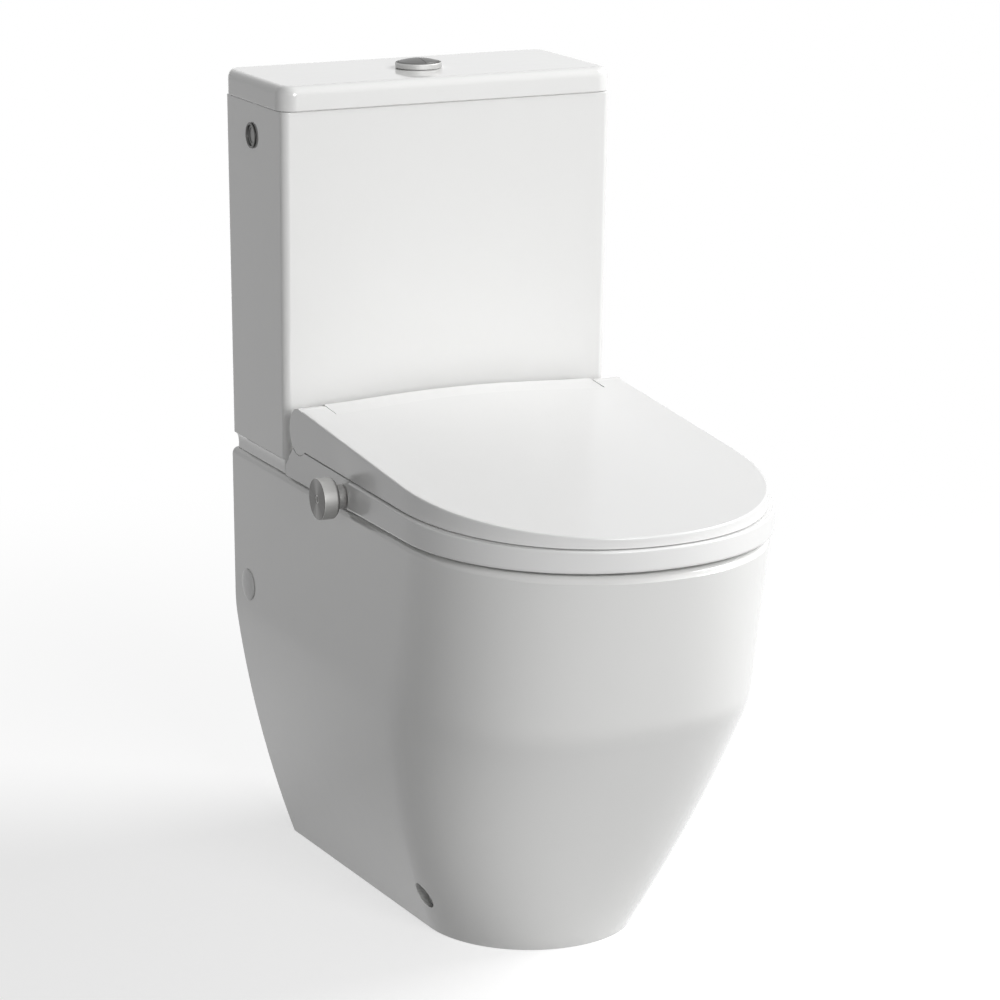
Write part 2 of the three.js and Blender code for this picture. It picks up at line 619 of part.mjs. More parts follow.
function makeFillValve() {
  const headTop = filler.height + filler.headHigh / 2;
  const shankEnd = tank.half + filler.shankOut;
  const wallIn = tankHalf(filler.height) - tank.wall;
  const level = filler.leverFoot + filler.leverThick / 2;
  const columnFoot = filler.height - filler.columnLong;
  const cheekFoot = headTop - filler.cheek;
  const cheeks = [-1, 1].map((side) => {
    const near = side * (filler.leverHalf + seatGap);
    const [low, high] = [near, near + side * filler.cheek].sort((a, b) => a - b);
    return block(filler.x - filler.leverTail, filler.x + filler.leverTail, low - filler.line,
      high - filler.line,
      cheekFoot, headTop + filler.cheekHigh);
  });
  const pinReach = filler.leverHalf + filler.cheek;
  const body = cut(joined(
    barZ(filler.x, -filler.line, columnFoot, filler.height, filler.column),
    barZ(filler.x, -filler.line, filler.height - filler.headHigh / 2, headTop, filler.head),
    barX(-filler.line, filler.height, filler.x, shankEnd, filler.shank),
    barX(-filler.line, filler.height, wallIn - seatGap - filler.washerThick, wallIn - seatGap,
      filler.washer),
    ...cheeks),
  barZ(filler.x, -filler.line, columnFoot - overrun, filler.height, filler.columnBore, smallSides),
  barX(-filler.line, filler.height, filler.x, shankEnd + overrun, filler.shankBore, smallSides),
  barY(filler.x, level, -filler.line - wallSpan / 2, -filler.line + wallSpan / 2, filler.pin + seatGap,
    smallSides));
  place("fill_valve_body", body, whitePlastic);
  const wallOut = tankHalf(filler.height) + seatGap;
  place("inlet_nut", cut(barX(-filler.line, filler.height, wallOut, wallOut + filler.nutThick,
    filler.nut, 6),
    barX(-filler.line, filler.height, wallOut - overrun, wallOut + filler.nutThick + overrun,
      filler.shank + seatGap)), brass);
  const lever = joined(block(filler.x - filler.leverLong, filler.x + filler.leverTail,
    -filler.line - filler.leverHalf, -filler.line + filler.leverHalf, filler.leverFoot,
    filler.leverFoot + filler.leverThick),
  barY(filler.x, level, -filler.line - pinReach, -filler.line + pinReach, filler.pin, smallSides));
  place("fill_valve_lever", lever, bluePlastic);
  makeFloat();
}

// A cup that slides on the column, with a rod that lifts the lever
function makeFloat() {
  const foot = filler.height - filler.cupDown;
  const top = foot + filler.cupHigh;
  const inner = filler.column + seatGap;
  const wall = filler.cupWall;
  const cup = turned([[inner, foot], [filler.cup, foot], [filler.cup, top], [filler.cup - wall, top],
    [filler.cup - wall, foot + wall], [inner + wall, foot + wall], [inner + wall, top], [inner, top]])
    .translate([filler.x, -filler.line, 0]);
  const rod = barZ(filler.x - filler.rodOut, -filler.line, foot + wall / 2, filler.leverFoot - seatGap,
    filler.rod,
    smallSides);
  place("fill_valve_float", cup.add(rod), bluePlastic);
}

function makePlug() {
  const wallOut = -tankHalf(filler.height) - seatGap;
  const wallIn = wallOut + tank.wall + 2 * seatGap;
  const face = wallOut - plug.proud;
  place("side_plug", cut(joined(
    barX(-filler.line, filler.height, face, wallOut, plug.radius, fineSides),
    barX(-filler.line, filler.height, wallOut, wallOut + plug.shankLong, plug.shank, smallSides)),
  barX(-filler.line, filler.height, face - overrun, face + plug.discDeep, plug.radius - plug.ring)),
    chrome);
  place("side_plug_nut", cut(barX(-filler.line, filler.height, wallIn, wallIn + plug.nutThick, plug.nut, 6),
    barX(-filler.line, filler.height, wallIn - overrun, wallIn + plug.nutThick + overrun,
      plug.shank + seatGap, smallSides)), greyPlastic);
}

// Bolts through the tank floor and the pan's deck, with a rubber washer inside and a wing nut below
function makeTankBolts() {
  const washerFoot = tank.floor + seatGap;
  const headFoot = washerFoot + tankBolt.washerHigh + seatGap;
  const deckFoot = panRim.height - pan.deck - seatGap;
  for (const [name, side] of mirrored) {
    const x = side * tankBolt.x;
    const ringIn = tankBolt.rod + seatGap;
    const y = -tankBolt.line;
    place(`cistern_bolt_${name}`, joined(
      barZ(x, y, headFoot, headFoot + tankBolt.headHigh, tankBolt.head, 6),
      barZ(x, y, deckFoot - tankBolt.wingHigh - tankBolt.rod, headFoot + tankBolt.rod, tankBolt.rod,
        smallSides)), brass);
    place(`cistern_washer_${name}`, turned([[ringIn, washerFoot], [tankBolt.washer, washerFoot],
      [tankBolt.washer, washerFoot + tankBolt.washerHigh], [ringIn, washerFoot + tankBolt.washerHigh]],
        smallSides)
      .translate([x, y, 0]), rubber);
    const wingFoot = deckFoot - tankBolt.wingHigh;
    place(`cistern_wing_nut_${name}`, cut(joined(
      barZ(x, y, wingFoot, deckFoot, tankBolt.head, smallSides),
      block(x - tankBolt.wing, x + tankBolt.wing, y - tankBolt.rod / 2, y + tankBolt.rod / 2, wingFoot,
        deckFoot - seatGap)),
    barZ(x, y, wingFoot - overrun, deckFoot + overrun, ringIn, smallSides)), brass);
  }
}

// The line where the lid parts from the ring and the housing
function partingAt(y) {
  return parting.nose + parting.slopeShare * (parting.line + y);
}

// A barrel round the hinge line, out to a half width
function humpBarrel(half, radius) {
  return barX(-hinge.line, hinge.height, -half, half, radius, fineSides);
}

// The strip behind the lid: flush with the lid on top, round the hinge line in front, and round at the back
function humpBody(half, extra, foot) {
  const radius = hinge.hump + extra;
  const back = -hinge.line + hinge.humpBack + extra;
  const round = hinge.humpRound + extra;
  const stations = Array.from({ length: humpSteps + 1 }, (_, station) => {
    const x = mixed(-half, half, station / humpSteps);
    const topAt = (y) => lidTop(x, y) + extra;
    const reach = Math.sqrt(radius ** 2 - (topAt(-hinge.line - radius) - hinge.height) ** 2);
    const endShare = Math.atan2(topAt(-hinge.line - reach) - hinge.height, -reach);
    const rear = [0, ...edgeTurns].map((turn) => [x, back - round * (1 - Math.cos(turn)),
      topAt(back - round) - round * (1 - Math.sin(turn))]);
    const front = Array.from({ length: arcSteps + 1 }, (_, step) => {
      const turn = mixed(endShare, humpEndShare, step / arcSteps);
      return [x, -hinge.line + radius * Math.cos(turn), hinge.height + radius * Math.sin(turn)];
    });
    return [[x, back, foot], ...rear, ...front, [x, front[arcSteps][1], foot]];
  });
  return loft(stations);
}

function bothSides(makeSide) {
  const right = makeSide();
  return right.add(right.mirror([1, 0, 0]));
}

function makeHousing() {
  const seamAt = (y) => [y, partingAt(y) - housing.seam];
  const frontBlock = slabX([[-housing.back, housing.foot], [-housing.back, housing.shoulder],
    seamAt(-housing.tip), seamAt(-housing.hoodBack),
    [-housing.front, housing.hoodTop], [-housing.front, housing.foot]], -housing.half, housing.half);
  const cheekIn = housing.half - housing.cheekWide;
  const cheek = () => slabX([[-housing.hoodBack, housing.foot],
    [-housing.hoodBack, partingAt(-housing.hoodBack) - housing.seam],
    [-housing.cheekFront, partingAt(-housing.cheekFront) - housing.seam], [-housing.cheekFront,
      housing.foot]],
  cheekIn, housing.half);
  const outside = joined(frontBlock, humpBody(hinge.humpHalf, 0, housing.foot),
    bothSides(cheek));
  const wall = housing.wall;
  const roomHalf = hinge.humpHalf - housing.beam;
  const room = joined(
    humpBody(roomHalf, -wall, housing.foot - overrun),
    block(-roomHalf, roomHalf, -housing.front + wall, -housing.hoodBack, housing.foot - overrun,
      housing.hoodTop - wall),
    block(-roomHalf, roomHalf, -housing.hoodBack - wall, -housing.back - wall, housing.foot - overrun,
      housing.shoulder - wall));
  const trough = () => barX(-hinge.line, hinge.height, hinge.humpHalf - seatGap,
    housing.half + overrun, hinge.ear + runGap);
  const slot = () => block(hinge.humpHalf + seatGap, cheekIn - seatGap, -housing.front - overrun,
    -hinge.line,
    housing.foot + housing.wall, hinge.height);
  const cheekRoom = () => block(cheekIn + wall, housing.half - wall, -housing.cheekFront + wall,
    -housing.front - wall,
    housing.foot - overrun, partingAt(-housing.cheekFront) - housing.seam - wall);
  const pinHole = () => barX(-hinge.line, hinge.height, roomHalf - overrun, hinge.earIn,
    hinge.pin + seatGap,
    smallSides);
  const window = block(-wand.holderHalf - wand.notch, wand.holderHalf + wand.notch,
    -housing.front - overrun,
    -housing.front + wall + overrun, housing.foot - overrun, housing.foot + wand.windowHigh);
  const spindleHole = barX(-knob.line, knob.height, -housing.half - overrun, -housing.half + wall + overrun,
    knob.spindle + seatGap, smallSides);
  const supplyHole = barX(-connector.line, connector.height, housing.half - wall - overrun,
    housing.half + overrun, connector.radius + seatGap, smallSides);
  const rib = () => outside.intersect(block(housing.ribLine, housing.ribLine + housing.ribThick,
    -seatPlate.front, -housing.back - wall / 2, seatPlate.top + seatGap, hinge.height));
  place("seat_housing", cut(outside, room, bothSides(trough), bothSides(slot), bothSides(cheekRoom),
    bothSides(pinHole), window, spindleHole, supplyHole).add(bothSides(rib)), whitePlastic);
}

// The lid's top, a plane that rises to the back, with a crown that grows to the hinge and fades to the sides
function lidTop(x, y) {
  const share = (y + lid.front) / (lid.front - hinge.line);
  const middleShare = Math.max(1 - (x / hinge.humpHalf) ** 2, 0) ** crownPowerShare;
  return mixed(lid.noseTop, lid.hingeTop, share) + lid.crown * Math.max(share, 0) * middleShare;
}

// The lid's outline, with points along its back too, where the top is crowned
function lidRing(inset, back, heightAt) {
  const ring = planRing(lid, inset, back, heightAt);
  const corner = ring[ring.length - 1][0];
  for (let step = 1; step < backSteps; step++) {
    const x = mixed(corner, -corner, step / backSteps);
    ring.push([x, back, heightAt(x, back)]);
  }
  return ring;
}

function lidOutside() {
  const back = -hinge.line;
  const rings = [lidRing(0, back, (x, y) => partingAt(y))];
  for (const turn of [0, ...edgeTurns]) {
    const inset = lid.edge * (1 - Math.cos(turn));
    const drop = lid.edge * (1 - Math.sin(turn));
    rings.push(lidRing(inset, back, (x, y) => lidTop(x, y) - drop));
  }
  const middle = -(lid.front + hinge.line) / 2;
  const rim = rings[rings.length - 1];
  for (const share of crownShares) {
    rings.push(rim.map(([x, y]) => [x * share, mixed(middle, y, share)]).map(([x, y]) => [x, y,
      lidTop(x, y)]));
  }
  return loft(rings, undefined, [0, middle, lidTop(0, middle)]);
}

function lidHollow() {
  const back = -hinge.line + overrun;
  const rings = [
    lidRing(lid.wall, back, (x, y) => partingAt(y) - overrun),
    lidRing(lid.wall, back, (x, y) => lidTop(x, y) - lid.edge - lid.wall / 2),
    lidRing(lid.wall + lid.edge, back, (x, y) => lidTop(x, y) - lid.wall),
  ];
  return loft(rings);
}

// A wedge about the hinge line, between two directions in the (y, z) plane
function wedgeX(x0, x1, from, to, radius) {
  const edge = Array.from({ length: wedgeSteps + 1 }, (_, step) => {
    const turn = mixed(from, to, step / wedgeSteps);
    return [-hinge.line + radius * Math.cos(turn), hinge.height + radius * Math.sin(turn)];
  });
  return slabX([[-hinge.line, hinge.height], ...edge], x0, x1);
}

function makeLid() {
  const lidHalf = hinge.humpHalf + runGap;
  const humpCut = humpBarrel(lidHalf, hinge.hump + 2 * runGap);
  const hood = humpBarrel(lidHalf, hinge.hump + runGap + lid.wall);
  const ear = () => barX(-hinge.line, hinge.height, lidHalf, lid.side, hinge.ear);
  const earBlock = () => block(lidHalf - lid.wall, lid.side, -hinge.line - hinge.ear, -hinge.line + overrun,
    hinge.height - hinge.ear, lid.hingeTop + lid.crown);
  const hollow = cut(lidHollow(), hood, bothSides(earBlock));
  const seatRoom = () => joined(
    barX(-hinge.line, hinge.height, lidHalf - overrun, hinge.earIn, hinge.barrel + 3 * runGap),
    wedgeX(lidHalf - lid.wall - overrun, hinge.earIn, armShares[0], armShares[1],
      hinge.ear + lid.wall + overrun));
  const pinEnd = hinge.humpHalf - housing.beam + hinge.pinLong + seatGap;
  const pinHole = () => barX(-hinge.line, hinge.height, hinge.armIn, pinEnd, hinge.pin + seatGap,
    smallSides);
  const shell = cut(lidOutside(), hollow).add(bothSides(ear));
  place("seat_lid", cut(shell, humpCut, bothSides(seatRoom), bothSides(pinHole)), whitePlastic);
}

function makeRing() {
  const top = (x, y) => partingAt(y) - housing.seam;
  const body = (plan, back) => loft([
    planRing(plan, ring.edge, back, () => ring.foot), planRing(plan, 0, back, () => ring.foot + ring.edge),
    planRing(plan, 0, back, (x, y) => top(x, y) - ring.topEdge), planRing(plan, ring.topEdge, back, top)]);
  const neck = { ...ring, rear: ring.neckHalf, side: ring.neckHalf,
    front: ring.front - ring.side + ring.neckHalf };
  const centre = -(ring.holeBack + ring.holeFront) / 2;
  const length = (ring.holeFront - ring.holeBack) / 2;
  const hole = loft([
    ovalRing(ring.holeHalf, length, centre, ring.holePowerShare, ring.foot - overrun),
    ovalRing(ring.holeHalf, length, centre, ring.holePowerShare, partingAt(0) + overrun)]);
  const lean = Math.atan2(hinge.height - (ring.foot + hinge.armThick),
    ring.neckBack - hinge.line + hinge.armThick);
  const half = hinge.armThick / 2;
  const shift = [half * Math.sin(lean), -half * Math.cos(lean)];
  const start = [-hinge.line, hinge.height];
  const end = [-ring.neckBack - hinge.armThick, ring.foot + hinge.armThick];
  const arm = () => joined(
    barX(-hinge.line, hinge.height, hinge.armIn, hinge.armOut, hinge.barrel),
    slabX([[start[0] + shift[0], start[1] + shift[1]], [start[0] - shift[0], start[1] - shift[1]],
      [end[0] - shift[0], end[1] - shift[1]], [end[0] + shift[0], end[1] + shift[1]]], hinge.armIn,
        hinge.armOut));
  const pinHole = () => barX(-hinge.line, hinge.height, hinge.humpHalf, hinge.earIn,
    hinge.pin + seatGap, smallSides);
  const whole = joined(body(ring, -ring.back), body(neck, -ring.neckBack), bothSides(arm));
  place("seat_ring", cut(whole, hole, bothSides(pinHole)), whitePlastic);
}

function makeHinges() {
  for (const [name, side] of mirrored) {
    const pin = barX(-hinge.line, hinge.height, hinge.humpHalf - housing.beam + seatGap,
      hinge.humpHalf - housing.beam + hinge.pinLong, hinge.pin, smallSides);
    place(`hinge_pin_${name}`, side > 0 ? pin : pin.mirror([1, 0, 0]), satinMetal);
  }
}

function makeBuffers() {
  const places = [["back", buffer.backX, buffer.backLine], ["front", buffer.frontX, buffer.frontLine]];
  for (const [name, side] of mirrored) {
    for (const [end, x, line] of places) {
      place(`seat_buffer_${end}_${name}`, barZ(side * x, -line, panRim.height + seatGap,
        ring.foot - seatGap,
        buffer.radius, smallSides), paleRubber);
    }
    const foot = partingAt(-buffer.lidLine) - housing.seam + seatGap;
    const top = lidTop(buffer.lidX, -buffer.lidLine) - lid.wall - lid.edge;
    place(`lid_buffer_${name}`, barZ(side * buffer.lidX, -buffer.lidLine, foot, top, buffer.lidRadius,
      smallSides), paleRubber);
  }
}

function makeSeatPlate() {
  let plate = block(-seatPlate.half, seatPlate.half, -seatPlate.front, -seatPlate.back, seatPlate.foot,
    seatPlate.top);
  plate = cut(plate, block(-seatPlate.notchHalf, seatPlate.notchHalf, -seatPlate.front - overrun,
    -seatPlate.notchBack, seatPlate.foot - overrun, seatPlate.top + overrun));
  const nutTop = panRim.height - pan.deck - seatGap;
  for (const [name, side] of mirrored) {
    const x = side * seatBolt.x;
    const y = -seatBolt.line;
    const around = seatBolt.rod + seatGap;
    plate = plate.subtract(barZ(x, y, seatPlate.foot - overrun, seatPlate.top + overrun, around,
      smallSides));
    const headFoot = seatPlate.top + seatGap;
    const headTop = headFoot + seatBolt.headHigh;
    place(`seat_bolt_${name}`, joined(barZ(x, y, headFoot, headTop, seatBolt.head, 6),
      barZ(x, y, nutTop - seatBolt.nutHigh - seatBolt.tip, headTop - seatBolt.headHigh / 2, seatBolt.rod,
        smallSides)), satinMetal);
    place(`seat_nut_${name}`, cut(barZ(x, y, nutTop - seatBolt.nutHigh, nutTop, seatBolt.nut, 6),
      barZ(x, y, nutTop - seatBolt.nutHigh - overrun, nutTop + overrun, around, smallSides)), whitePlastic);
  }
  place("mounting_plate", plate, greyPlastic);
}

// Wands and holder are made along Y, then sloped and set under the housing
function makeWands() {
  const slope = (body) => body.rotate([wand.slopeShare / degreeShare, 0, 0]).translate([0, -wand.line,
    wand.height]);
  const wing = block(-wand.wingHalf, wand.wingHalf, -wand.wingFront, -wand.wingBack,
    seatPlate.top + seatGap,
    seatPlate.top + seatGap + wand.wingHigh);
  let holder = slope(block(-wand.holderHalf, wand.holderHalf, -wand.holderFront, wand.holderBack,
    -wand.holderThick, wand.holderThick)).add(wing);
  for (const [name, side] of [["rear_nozzle", -1], ["front_nozzle", 1]]) {
    const x = side * wand.x;
    holder = holder.subtract(slope(barY(x, 0, -wand.holderFront - overrun, wand.holderBack + overrun,
      wand.radius + seatGap, smallSides)));
    const tip = wand.front - wand.bore;
    const body = cut(barY(x, 0, -wand.front, wand.back, wand.radius, smallSides),
      barY(x, 0, -tip, wand.back + overrun, wand.bore, smallSides));
    place(name, slope(body), whitePlastic);
  }
  place("nozzle_holder", holder, greyPlastic);
}

function makeKnob() {
  const length = knob.face - knob.back;
  const collarEnd = knob.face - housing.half - seatGap;
  const spindleEnd = knob.face - knob.spindleEnd;
  const profile = [[0, 0], [knob.radius - knob.bevel, 0], [knob.radius, knob.bevel],
    [knob.radius, length - knob.backBevel], [knob.radius - knob.backBevel, length], [knob.collar, length],
    [knob.collar, collarEnd], [knob.spindle, collarEnd], [knob.spindle, spindleEnd], [0, spindleEnd]];
  const body = turned(profile, fineSides).rotate([0, 90, 0]).translate([-knob.face, -knob.line,
    knob.height]);
  const mark = barX(-knob.line, knob.height, -knob.face - overrun, -knob.face + knob.markDeep,
    knob.mark, smallSides);
  place("control_knob", body.subtract(mark), satinMetal);
}

// The valve that the knob turns fills the left cheek
function makeSelector() {
  const out = housing.half - housing.wall - seatGap;
  const inner = housing.half - housing.cheekWide + housing.wall + seatGap;
  const foot = housing.foot + selector.low;
  const body = block(-out, -inner, -selector.front, -selector.back, foot, foot + selector.high);
  const socket = barX(-knob.line, knob.height, -out - overrun, -knob.spindleEnd + seatGap,
    knob.spindle + seatGap, fineSides);
  place("selector_valve", body.subtract(socket), greyPlastic);
}

function makeConnector() {
  const foot = housing.half + seatGap;
  const inner = housing.half - housing.wall - connector.flangeThick;
  place("supply_connector", cut(joined(
    barX(-connector.line, connector.height, inner, housing.half + connector.out, connector.radius,
      smallSides),
    barX(-connector.line, connector.height, foot, foot + connector.flangeThick, connector.flange,
      smallSides)),
  barX(-connector.line, connector.height, inner - overrun, housing.half + connector.out + overrun,
    connector.bore, smallSides)), chrome);
}

function makeSideCaps() {
  const surface = panPlan(sideCap.height).rear + seatGap;
  const dome = [[0, -sideCap.stemLength], [sideCap.stem, -sideCap.stemLength], [sideCap.stem, 0],
    [sideCap.radius, 0],
    ...[0, ...edgeTurns.slice(0, -1)].map((turn) => [sideCap.radius * Math.cos(turn),
      sideCap.dome * mixed(1 / 3, 1, Math.sin(turn))]), [0, sideCap.dome]];
  for (const [name, side] of mirrored) {
    const cap = turned(dome, smallSides).rotate([0, side * 90, 0]);
    place(`side_cap_${name}`, cap.translate([side * surface, -sideCap.line, sideCap.height]), whitePlastic);
  }
}

// Bracket on the floor inside the skirt, the screw through the skirt into it, and the cap in the bore
function makeFloorFixings() {
  const { line, height, bracketOut, bracketThick, bracketHalf } = floorFixing;
  const face = panPlan(height).side - floorFixing.capIn;
  const headEnd = face - floorFixing.capThick - seatGap;
  for (const [name, side] of mirrored) {
    const upright = block(bracketOut - bracketThick, bracketOut, -line - bracketHalf,
      -line + bracketHalf, 0,
      floorFixing.bracketHigh);
    const base = block(bracketOut - floorFixing.bracketLong, bracketOut, -line - bracketHalf,
      -line + bracketHalf,
      0, bracketThick);
    const footHole = barZ(bracketOut - floorFixing.bracketLong / 2, -line, -overrun, bracketThick + overrun,
      floorFixing.footBore, smallSides);
    const screwHole = barX(-line, height, bracketOut - bracketThick - overrun, bracketOut + overrun,
      floorFixing.rod + seatGap, smallSides);
    const screw = joined(
      barX(-line, height, bracketOut - bracketThick - overrun, headEnd - floorFixing.sleeve / 2,
        floorFixing.rod,
        smallSides),
      barX(-line, height, headEnd - floorFixing.sleeve, headEnd, floorFixing.bore - seatGap));
    const cap = barX(-line, height, face - floorFixing.capThick, face, floorFixing.bore - seatGap);
    const sided = (body) => side > 0 ? body : body.mirror([1, 0, 0]);
    place(`floor_bracket_${name}`, sided(cut(upright.add(base), footHole, screwHole)), satinMetal);
    place(`floor_screw_${name}`, sided(screw), satinMetal);
    place(`floor_screw_cap_${name}`, sided(cap), chrome);
  }
}

function makeWaste() {
  const start = -trap.end - waste.overlap;
  const length = -start;
  const sleeveIn = waste.sleeve - waste.sleeveWall;
  const pipeIn = waste.pipe - waste.pipeWall;
  const along = (profile, y) => turned(profile, fineSides).rotate([-90, 0, 0]).translate([0, y,
    trap.outlet]);
  place("waste_connector", along([[sleeveIn, 0], [waste.sleeve, 0], [waste.sleeve, waste.sleeveLong],
    [waste.pipe, waste.sleeveLong], [waste.pipe, length], [pipeIn, length],
    [pipeIn, waste.sleeveLong - waste.sleeveWall], [sleeveIn, waste.sleeveLong - waste.sleeveWall]],
      start), whitePlastic);
  const sealIn = trap.collar + seatGap;
  const sealOut = sleeveIn - seatGap;
  place("waste_seal", along([[sealIn, 0], [sealOut, 0], [sealOut, waste.sealLong], [sealIn,
    waste.sealLong]],
    start + waste.sealGap), rubber);
}

makePan();
makeBowl();
makeTrap();
makeTank();
makeCover();
makeButton();
makeFlushValve();
makeFillValve();
makePlug();
makeTankBolts();
makeHousing();
makeLid();
makeRing();
makeHinges();
makeBuffers();
makeSeatPlate();
makeWands();
makeKnob();
makeSelector();
makeConnector();
makeSideCaps();
makeFloorFixings();
makeWaste();

assembly.position.y = panRim.front / 2;
export default assembly;
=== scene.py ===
import json
import math

import bmesh
import bpy
import numpy as np
from mathutils import Matrix, Vector


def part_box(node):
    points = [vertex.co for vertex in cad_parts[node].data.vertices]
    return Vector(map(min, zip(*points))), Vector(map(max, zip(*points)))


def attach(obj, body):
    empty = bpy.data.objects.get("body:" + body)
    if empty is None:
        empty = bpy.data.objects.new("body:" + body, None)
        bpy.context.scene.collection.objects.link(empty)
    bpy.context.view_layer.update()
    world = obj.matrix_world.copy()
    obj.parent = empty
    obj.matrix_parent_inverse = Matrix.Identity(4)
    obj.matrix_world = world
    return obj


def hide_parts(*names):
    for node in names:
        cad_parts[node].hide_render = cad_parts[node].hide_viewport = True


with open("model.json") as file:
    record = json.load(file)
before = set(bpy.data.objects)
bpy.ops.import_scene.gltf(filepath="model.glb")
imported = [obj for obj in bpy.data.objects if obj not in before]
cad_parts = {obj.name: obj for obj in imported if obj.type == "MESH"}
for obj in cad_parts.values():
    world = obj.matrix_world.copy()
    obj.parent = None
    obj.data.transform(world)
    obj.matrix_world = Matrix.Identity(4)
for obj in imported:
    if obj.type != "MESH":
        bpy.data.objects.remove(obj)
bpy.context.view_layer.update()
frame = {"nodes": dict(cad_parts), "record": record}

# Sizes are in millimetres, with y = 0 on the wall behind the toilet and the front towards -y. A mesh is
# made in them and turned into metres of the frame at once.
MM = 0.001
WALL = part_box("pan")[1].y
SIDES = (("left", -1), ("right", 1))

SMOOTH_ANGLE = math.radians(32)
FINE = 96
ROUND = 48
ARC = 8


class Sizes:
    """A piece's sizes by name."""

    def __init__(self, **sizes):
        self.__dict__.update(sizes)

    def mixed(self, other, share, front_share=None):
        """The plan outline that lies between two others."""
        shares = {name: share for name in self.__dict__}
        shares["front"] = share if front_share is None else front_share
        shares["power"] = min(max(share, 0), 1)
        return Sizes(**{name: mixed(value, other.__dict__[name], shares[name])
                        for name, value in self.__dict__.items()})

    def changed(self, **sizes):
        return Sizes(**{**self.__dict__, **sizes})


def mixed(first, second, share):
    return first + (second - first) * share


# Sizes
GAP = 0.3  # between pieces that meet
RUN_GAP = 0.5  # between pieces that move past each other
OVER = 4  # how far a cutter reaches past what it cuts
FAR = 260
AXIS = .001  # the radius of a hollow turned profile's points at its axis

PAN_FOOT = Sizes(rear=114.5, side=105.5, straight=330, front=444, power=2.05)
PAN_CREASE = Sizes(rear=177.2, side=177, straight=384.2, front=598.9, power=2.47)
PAN_RIM = Sizes(rear=178, side=178, straight=448.3, front=643.5, power=2.07)
SKIRT_BULGE = Sizes(side=.196, rear=.12, front=-.1)
CREASE_Z, RIM_Z = 260.5, 427.8
CREASE_SOFT = 11
PAN = Sizes(wall=12, deck=26, edge=7, bay_floor=396, bay_half=46, bay_back=172, bay_front=262)
BOWL = Sizes(half=122, back=228, front=590, floor=112, wall=11, power=2.2, sump=378, lip=9)
BOWL_SHARES = ((0, .2, .16), (.04, .32, .24), (.13, .4, .31), (.3, .52, .46),
               (.48, .72, .7), (.7, .91, .9), (.88, .99, .99), (1, 1, 1))
TRAP = Sizes(bore=36, wall=11, start=158, slope=math.radians(55), low=70, top=62, end=60, weir=280,
             outlet=180, back=95, run=24, collar=51, collar_long=28)
INLET = Sizes(bore=24, wall=10, line=75, bend=46, level=350)
TANK = Sizes(half=180, depth=155.7, low_half=178.1, low_depth=146, corner=8, wall=10, floor=24,
             foot_in=4.6, foot_high=6, groove=11, rise=368.2, recess=47, recess_deep=14,
             top_edge=1.2)
TANK_FOOT = RIM_Z + GAP
GROOVE_FOOT = TANK_FOOT + TANK.foot_high
GROOVE_TOP = GROOVE_FOOT + TANK.groove
TANK_TOP = TANK_FOOT + TANK.rise
COVER = Sizes(over=1.5, edge=9, height=24.8, crown=12, lip=5, lip_deep=8, foot_edge=1.2, side_foot=1.4)
COVER_FOOT = TANK_TOP + GAP
COVER_TOP = COVER_FOOT + COVER.height
BUTTON = Sizes(radius=23.5, band=6, shank=21.6, wall=1.4, line=79, below=22, floor=3, thick=4, sunk=.6,
               dome=3.98, brim=1, soft=.8, rim=.3, rim_low=.25, half_split=.25, eased=.15, rod=3,
               rod_apart=16, rod_foot=9)
VALVE_LINE, VALVE_SPIGOT, VALVE_HEAD = 75, 23.5, TANK_FOOT + TANK.floor + 250
PORT = Sizes(line=73, z=TANK_TOP - 33.3, shank=8.5)
PLUG = Sizes(radius=13, ring=3.2, proud=1.8, deep=.9, shank=7.7, long=21, hole=8, sag=.5, slant=.9, soft=.6)
SEAT_BOLT = Sizes(x=77.5, line=205, bore=7)
TANK_BOLT = Sizes(x=80, line=78, bore=7, rod=4)
FLOOR_SCREW = Sizes(line=364, z=46, bore=13, cap_in=11, cap=2.5, cap_edge=.4, cap_rim=1.6, cap_disc=2.6,
                    cap_deep=.8, cap_sag=.5, cap_soft=.5)
SIDE_CAP = Sizes(line=38, z=289, bore=8, radius=16.5, dome=2.4, stem=7.6, stem_long=15,
                 edge=.4, turn=80)

HINGE = Sizes(line=182, z=481, ear=23.3, barrel=13, pin=4, pin_long=36, hump=33, hump_back=14, hump_round=8,
              half=147.8, arm_wide=12.5, arm=12, side_gap=1, slit=.5, sweep=(168, 342))
ARM_IN = HINGE.half + HINGE.side_gap
ARM_OUT = ARM_IN + HINGE.arm_wide
EAR_IN = ARM_OUT + HINGE.side_gap
HOUSING = Sizes(half=178.5, back=148.2, front=238, lift=2.2, wall=3.5, cheek_front=314, cheek=15.2,
                shoulder=440, tip=169, beam=10, hood_back=200, hood_top=460, seam=.8, window=15,
                rib_line=102, rib=4, soft=.7)
HOUSING_FOOT = RIM_Z + HOUSING.lift
LID = Sizes(rear=178, side=178, straight=430, front=639, power=2.15)
LID_FORM = Sizes(nose=463.6, back=504.3, edge=2, wall=4, crown=5, crown_power=1.5, foot_edge=.8)
SUPPLY = Sizes(line=262, z=444, radius=7)
SEAT_PLATE = Sizes(front=228, thick=3)
WAND_WINDOW = 29
PARTING = Sizes(nose=453.3, line=643, slope=.022)
RING = Sizes(rear=182, side=182, straight=448.3, front=643, power=2.1)
RING_FORM = Sizes(back=317, foot=431.3, neck_half=162.5, neck_back=241, edge=3, top_edge=2, hole_half=105,
                  hole_back=290, hole_front=570, hole_power=2.2, lip=5)
KNOB = Sizes(line=296, z=441, radius=20.5, bevel=1.2, back_bevel=3, face=206, back=188.5, collar=12,
             spindle=3, spindle_end=171, mark_in=2.7, mark_out=4.5, mark_edge=.4, mark_deep=.45, sunk=.1)
PAD = Sizes(foot_share=.8, taper_share=.35, soft=.6)
